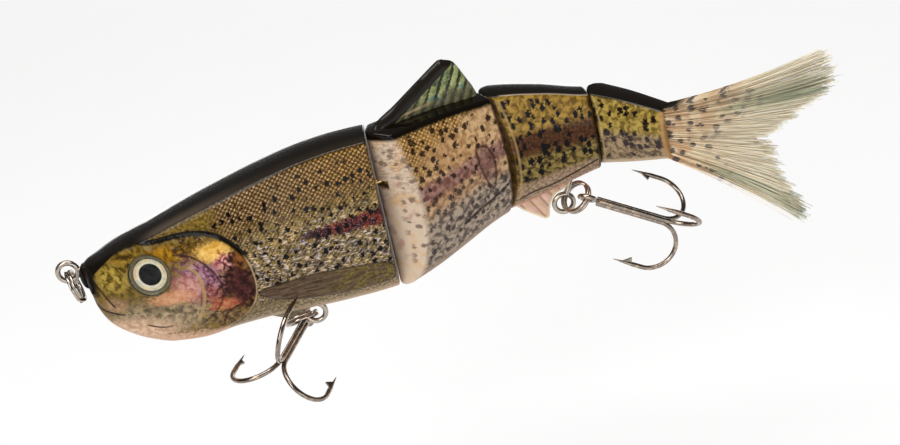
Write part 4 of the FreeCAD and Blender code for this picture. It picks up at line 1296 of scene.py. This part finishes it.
def tube_faces(base, steps, sides):
    """Faces of a closed tube whose points start at number base, ring by ring."""
    faces = []
    for step in range(steps - 1):
        for k in range(sides):
            a, b = base + step * sides + k, base + step * sides + (k + 1) % sides
            faces.append((a, b, b + sides, a + sides))
    faces.append(tuple(range(base + sides - 1, base - 1, -1)))
    faces.append(tuple(range(base + (steps - 1) * sides, base + steps * sides)))
    return faces


def brush_tail(material):
    """Every bristle is a thin tapered strand from the plug to the trimmed edge."""
    rng = np.random.default_rng(7)
    tuft_trim = 1.0 - np.abs(rng.normal(0, 0.05, TUFTS))
    per_bristle = BRISTLE_STEPS * BRISTLE_SIDES
    verts, faces, strand = [], [], []
    for n in range(BRISTLES):
        u = (n + rng.random()) / BRISTLES
        line, radii = bristle(rng, u, tuft_trim)
        for spot, radius in zip(line, radii):
            for k in range(BRISTLE_SIDES):
                turn = 2 * math.pi * k / BRISTLE_SIDES + 0.4
                across, up = radius * math.cos(turn), radius * math.sin(turn)
                verts.append((spot[0], spot[1] + across, spot[2] + up))
        strand += [u] * per_bristle
        faces += tube_faces(n * per_bristle, BRISTLE_STEPS, BRISTLE_SIDES)
    reach = np.tile(np.repeat(np.linspace(0, 1, BRISTLE_STEPS), BRISTLE_SIDES), BRISTLES)
    mesh = bpy.data.meshes.new("brush_tail")
    mesh.from_pydata(verts, [], faces)
    obj = linked("brush_tail", mesh)
    store(mesh, "fish", np.array(verts))
    store(mesh, "strand", np.array(strand))
    store(mesh, "reach", reach)
    mesh.shade_smooth()
    place(obj, section_matrix(4), "tail_section", material, ["tail_brush"])


def bristle_paint():
    p = Paint("bristles", Roughness=0.35, Subsurface_Weight=0.3, Subsurface_Radius=(0.003, 0.002, 0.0012))
    fish = p.place()
    x, _, z = p.parts(fish)
    flat = p.join(x, z)
    strand = p.field("strand")
    reach = p.field("reach")
    soft = p.noise(flat, 0.28, 2.0)
    fibre = p.noise(p.join(p.times(strand, 900.0), p.times(reach, 1.5)), 1.0, 1.0)
    colour = p.mix(p.step(soft, 0.38, 0.62), (0.88, 0.72, 0.50), (0.76, 0.57, 0.37))
    colour = p.lay(colour, (0.92, 0.83, 0.65), p.step(reach, 0.25, 0.9))
    lower_edge = p.step(strand, 0.84, 0.90)
    upper_part = p.times(p.band(strand, 0.17, 0.14), 0.8)
    outer = p.number("MAXIMUM", upper_part, lower_edge)
    bands = p.step(p.noise(p.join(p.times(strand, 30.0), reach), 1.0, 2.0), 0.40, 0.60)
    green = p.times(p.times(outer, bands), p.step(reach, 0.22, 0.5))
    colour = p.lay(colour, (0.22, 0.31, 0.18), green)
    thin_bands = p.times(p.step(p.noise(p.join(p.times(strand, 60.0)), 1.0, 1.0), 0.60, 0.68), 0.5)
    colour = p.lay(colour, (0.30, 0.32, 0.20), p.times(thin_bands, p.step(reach, 0.3, 0.6)))
    warm = p.times(p.step(reach, 0.60, 0.10), p.step(soft, 0.42, 0.56))
    colour = p.lay(colour, (0.66, 0.40, 0.20), warm, 0.7)
    colour = p.lay(colour, (0.36, 0.27, 0.165), p.step(fibre, 0.56, 0.70), 0.6)
    shade = p.step(p.noise(p.join(p.times(strand, 44.0), reach), 1.0, 1.0), 0.50, 0.62)
    colour = p.lay(colour, (0.48, 0.40, 0.25), shade, 0.35)
    spots = p.spots(p.join(p.times(x, 0.75), z), 0.50, 0.16, 0.36, 0.88)
    near = p.step(p.scaled(soft, 0.4, reach), 0.94, 0.55)
    colour = p.lay(colour, (0.055, 0.045, 0.055), p.times(spots, near), 0.85)
    root = p.times(p.step(strand, 0.05, 0.01), p.step(reach, 0.24, 0.12))
    colour = p.lay(colour, BLACK, root)
    p.colour(colour)
    return p.material


# ---------------------------------------------------------------- split rings

# Body, centre, axis and a direction across each ring, as they lie at rest.
SPLIT_RINGS = {
    "line_tie": ("line_tie_ring", (0.90, -1.26, -2.91), (0.965, 0.131, 0.226), (0.27, -0.38, -0.88)),
    "front": ("front_ring", (44.28, 0.07, -21.89), (-0.182, 0.509, 0.842), (0.975, -0.021, 0.223)),
    "rear": ("rear_ring", (106.32, 12.94, -14.04), (0.558, 0.392, -0.732), (1.0, 0.0, 0.76)),
}
RING_MEAN = 3.3
COIL_HALF = (0.40, 0.335)
COIL_RISE = 0.385


def coil_wire():
    """A double coil of flattened wire: one turn, a short climb, and a second turn on top of it."""
    climb = math.radians(38)
    turns = np.concatenate([
        np.linspace(0, 2 * math.pi - climb, 90), np.linspace(2 * math.pi - climb, 2 * math.pi, 12)[1:],
        np.linspace(2 * math.pi, 4 * math.pi - climb - 0.08, 90)[1:],
    ])
    sides = 14
    bm = bmesh.new()
    rings = []
    for turn in turns:
        lift = COIL_RISE * (2 * float(smooth_step(turn, 2 * math.pi - climb, 2 * math.pi)) - 1)
        ring = []
        for n in range(sides):
            a = 2 * math.pi * n / sides
            out = COIL_HALF[0] * math.copysign(abs(math.cos(a)) ** 0.6, math.cos(a))
            up = COIL_HALF[1] * math.copysign(abs(math.sin(a)) ** 0.6, math.sin(a))
            reach = RING_MEAN + out
            ring.append(bm.verts.new((reach * math.cos(turn), reach * math.sin(turn), lift + up)))
        rings.append(ring)
    for before, after in zip(rings, rings[1:]):
        wall(bm, before, after)
    bm.faces.new(rings[0][::-1])
    bm.faces.new(rings[-1])
    bmesh.ops.recalc_face_normals(bm, faces=bm.faces)
    return bm


def split_rings(material):
    for word, (body, centre, axis, across) in SPLIT_RINGS.items():
        up = Vector(axis).normalized()
        first = Vector(across)
        first = (first - up * first.dot(up)).normalized()
        turn = Matrix((first, up.cross(first), up)).transposed().to_4x4()
        matrix = Matrix.Scale(MM, 4) @ Matrix.Translation(centre) @ turn
        obj = new_object(word + "_coil", coil_wire())
        place(obj, matrix, body, material, [word + "_split_ring"])
        soften(obj)


# ---------------------------------------------------------------- keel under the belly

KEEL = ((35.5, -18.15), (42.3, -21.25), (44.6, -20.65), (48.5, -18.15))
KEEL_HALF_WIDTH = 0.9


def keel(material):
    """The small keel that the front hook hanger stands in, with its edges eased."""
    bm = bmesh.new()
    left = [bm.verts.new((x, -KEEL_HALF_WIDTH, z)) for x, z in KEEL]
    right = [bm.verts.new((x, KEEL_HALF_WIDTH, z)) for x, z in KEEL]
    bm.faces.new(left)
    bm.faces.new(right[::-1])
    wall(bm, right, left)
    bmesh.ops.recalc_face_normals(bm, faces=bm.faces)
    bmesh.ops.bevel(bm, geom=list(bm.edges), offset=0.3, segments=3, affect="EDGES", profile=0.5)
    obj = new_object("belly_keel", bm)
    soften(obj)
    place(obj, section_matrix(1), "front_section", material)


# ---------------------------------------------------------------- stage

# Place, point aimed at, width and length in metres, and power in watts.
LIGHTS = {
    "overhead": ((0.06, -0.12, 0.70), (0.08, 0.0, 0.0), (0.8, 0.35), 4.2),
    "front_left": ((-0.35, -0.62, 0.42), (0.07, 0.0, 0.0), (0.35, 0.55), 3.2),
    "front_low": ((0.25, -0.70, 0.05), (0.08, 0.0, 0.0), (0.7, 0.25), 1.2),
    "behind": ((0.12, 0.75, -0.02), (0.08, 0.0, 0.0), (0.7, 0.14), 0.8),
}
WORLD_COLOUR = (1.0, 0.97, 0.94, 1)
WORLD_STRENGTH = 0.10
FLOOR_SPOT = (0.08, 0.0, -0.09)
FLOOR_GLOW = 0.66


def studio():
    world = bpy.data.worlds.new("studio")
    bpy.context.scene.world = world
    world.use_nodes = True
    back = world.node_tree.nodes["Background"]
    back.inputs[0].default_value = WORLD_COLOUR
    back.inputs[1].default_value = WORLD_STRENGTH
    bpy.context.scene.view_settings.view_transform = "Standard"
    for name, settings in LIGHTS.items():
        soft_light(name, *settings)
    bm = bmesh.new()
    bmesh.ops.create_grid(bm, x_segments=1, y_segments=1, size=4.0)
    floor = new_object("floor", bm)
    floor.location = FLOOR_SPOT
    p = Paint("pale_floor", Roughness=0.9, Emission_Color=(1, 1, 1, 1), Emission_Strength=FLOOR_GLOW)
    grain = p.noise(p.object_place(), 40.0, 2.0)
    p.colour(p.mix(grain, (0.40, 0.40, 0.40), (0.42, 0.42, 0.42)))
    floor.data.materials.append(p.material)


def soft_light(name, spot, aim, size, power):
    data = bpy.data.lights.new(name, "AREA")
    data.shape = "RECTANGLE"
    data.size, data.size_y = size
    data.energy = power
    obj = linked(name, data)
    obj.location = spot
    direction = Vector(aim) - Vector(spot)
    obj.rotation_euler = direction.to_track_quat("-Z", "Y").to_euler()


CAMERA_SPOT = (87.64, -390.56, 183.22)
CAMERA_LENS = 84.0
AZIMUTH, ELEVATION, ROLL = (math.radians(angle) for angle in (1.25, 26.0, 12.68))


def camera():
    data = bpy.data.cameras.new("camera")
    data.lens = CAMERA_LENS
    data.sensor_width = 36.0
    obj = linked("camera", data)
    turn = Matrix.Rotation(AZIMUTH, 4, "Z") @ Matrix.Rotation(math.pi / 2 - ELEVATION, 4, "X")
    spot = Matrix.Translation(Vector(CAMERA_SPOT) * MM)
    obj.matrix_world = spot @ turn @ Matrix.Rotation(-ROLL, 4, "Z")
    bpy.context.scene.camera = obj


camera()
studio()
bezel_olive = plain("bezel_olive", (0.050, 0.038, 0.016), (0.10, 0.075, 0.030), 0.3)
body_skins([front_paint(), second_paint(), third_paint(), tail_paint()])
eyes(bezel_olive)
fins()
brush_tail(bristle_paint())
ring_steel = metal("ring_steel", (0.34, 0.30, 0.26), 0.12)
split_rings(ring_steel)
keel(plain("keel_olive", (0.16, 0.14, 0.075), (0.36, 0.31, 0.21), 0.3, scale=900.0))

node_materials = {
    "treble": metal("hook_steel", (0.25, 0.21, 0.18), 0.11),
    "line_tie_wire": metal("tie_wire", (0.40, 0.36, 0.32), 0.14),
    "hanger_wire": metal("hanger_wire", (0.40, 0.36, 0.32), 0.14),
    "hinge_pin": metal("pin_steel", (0.60, 0.59, 0.57), 0.2),
    "joint_": metal("brass_wire", (0.70, 0.50, 0.20), 0.2, warm=(0.78, 0.62, 0.30)),
    "weight": plain("lead", (0.16, 0.16, 0.17), (0.22, 0.22, 0.23), 0.5, Metallic=0.8),
    "plug": plain("plug_plastic", (0.10, 0.09, 0.08), (0.14, 0.13, 0.11), 0.5),
}
for name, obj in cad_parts.items():
    for word, material in node_materials.items():
        if word in name and not obj.hide_render:
            obj.data.materials.clear()
            obj.data.materials.append(material)
            break
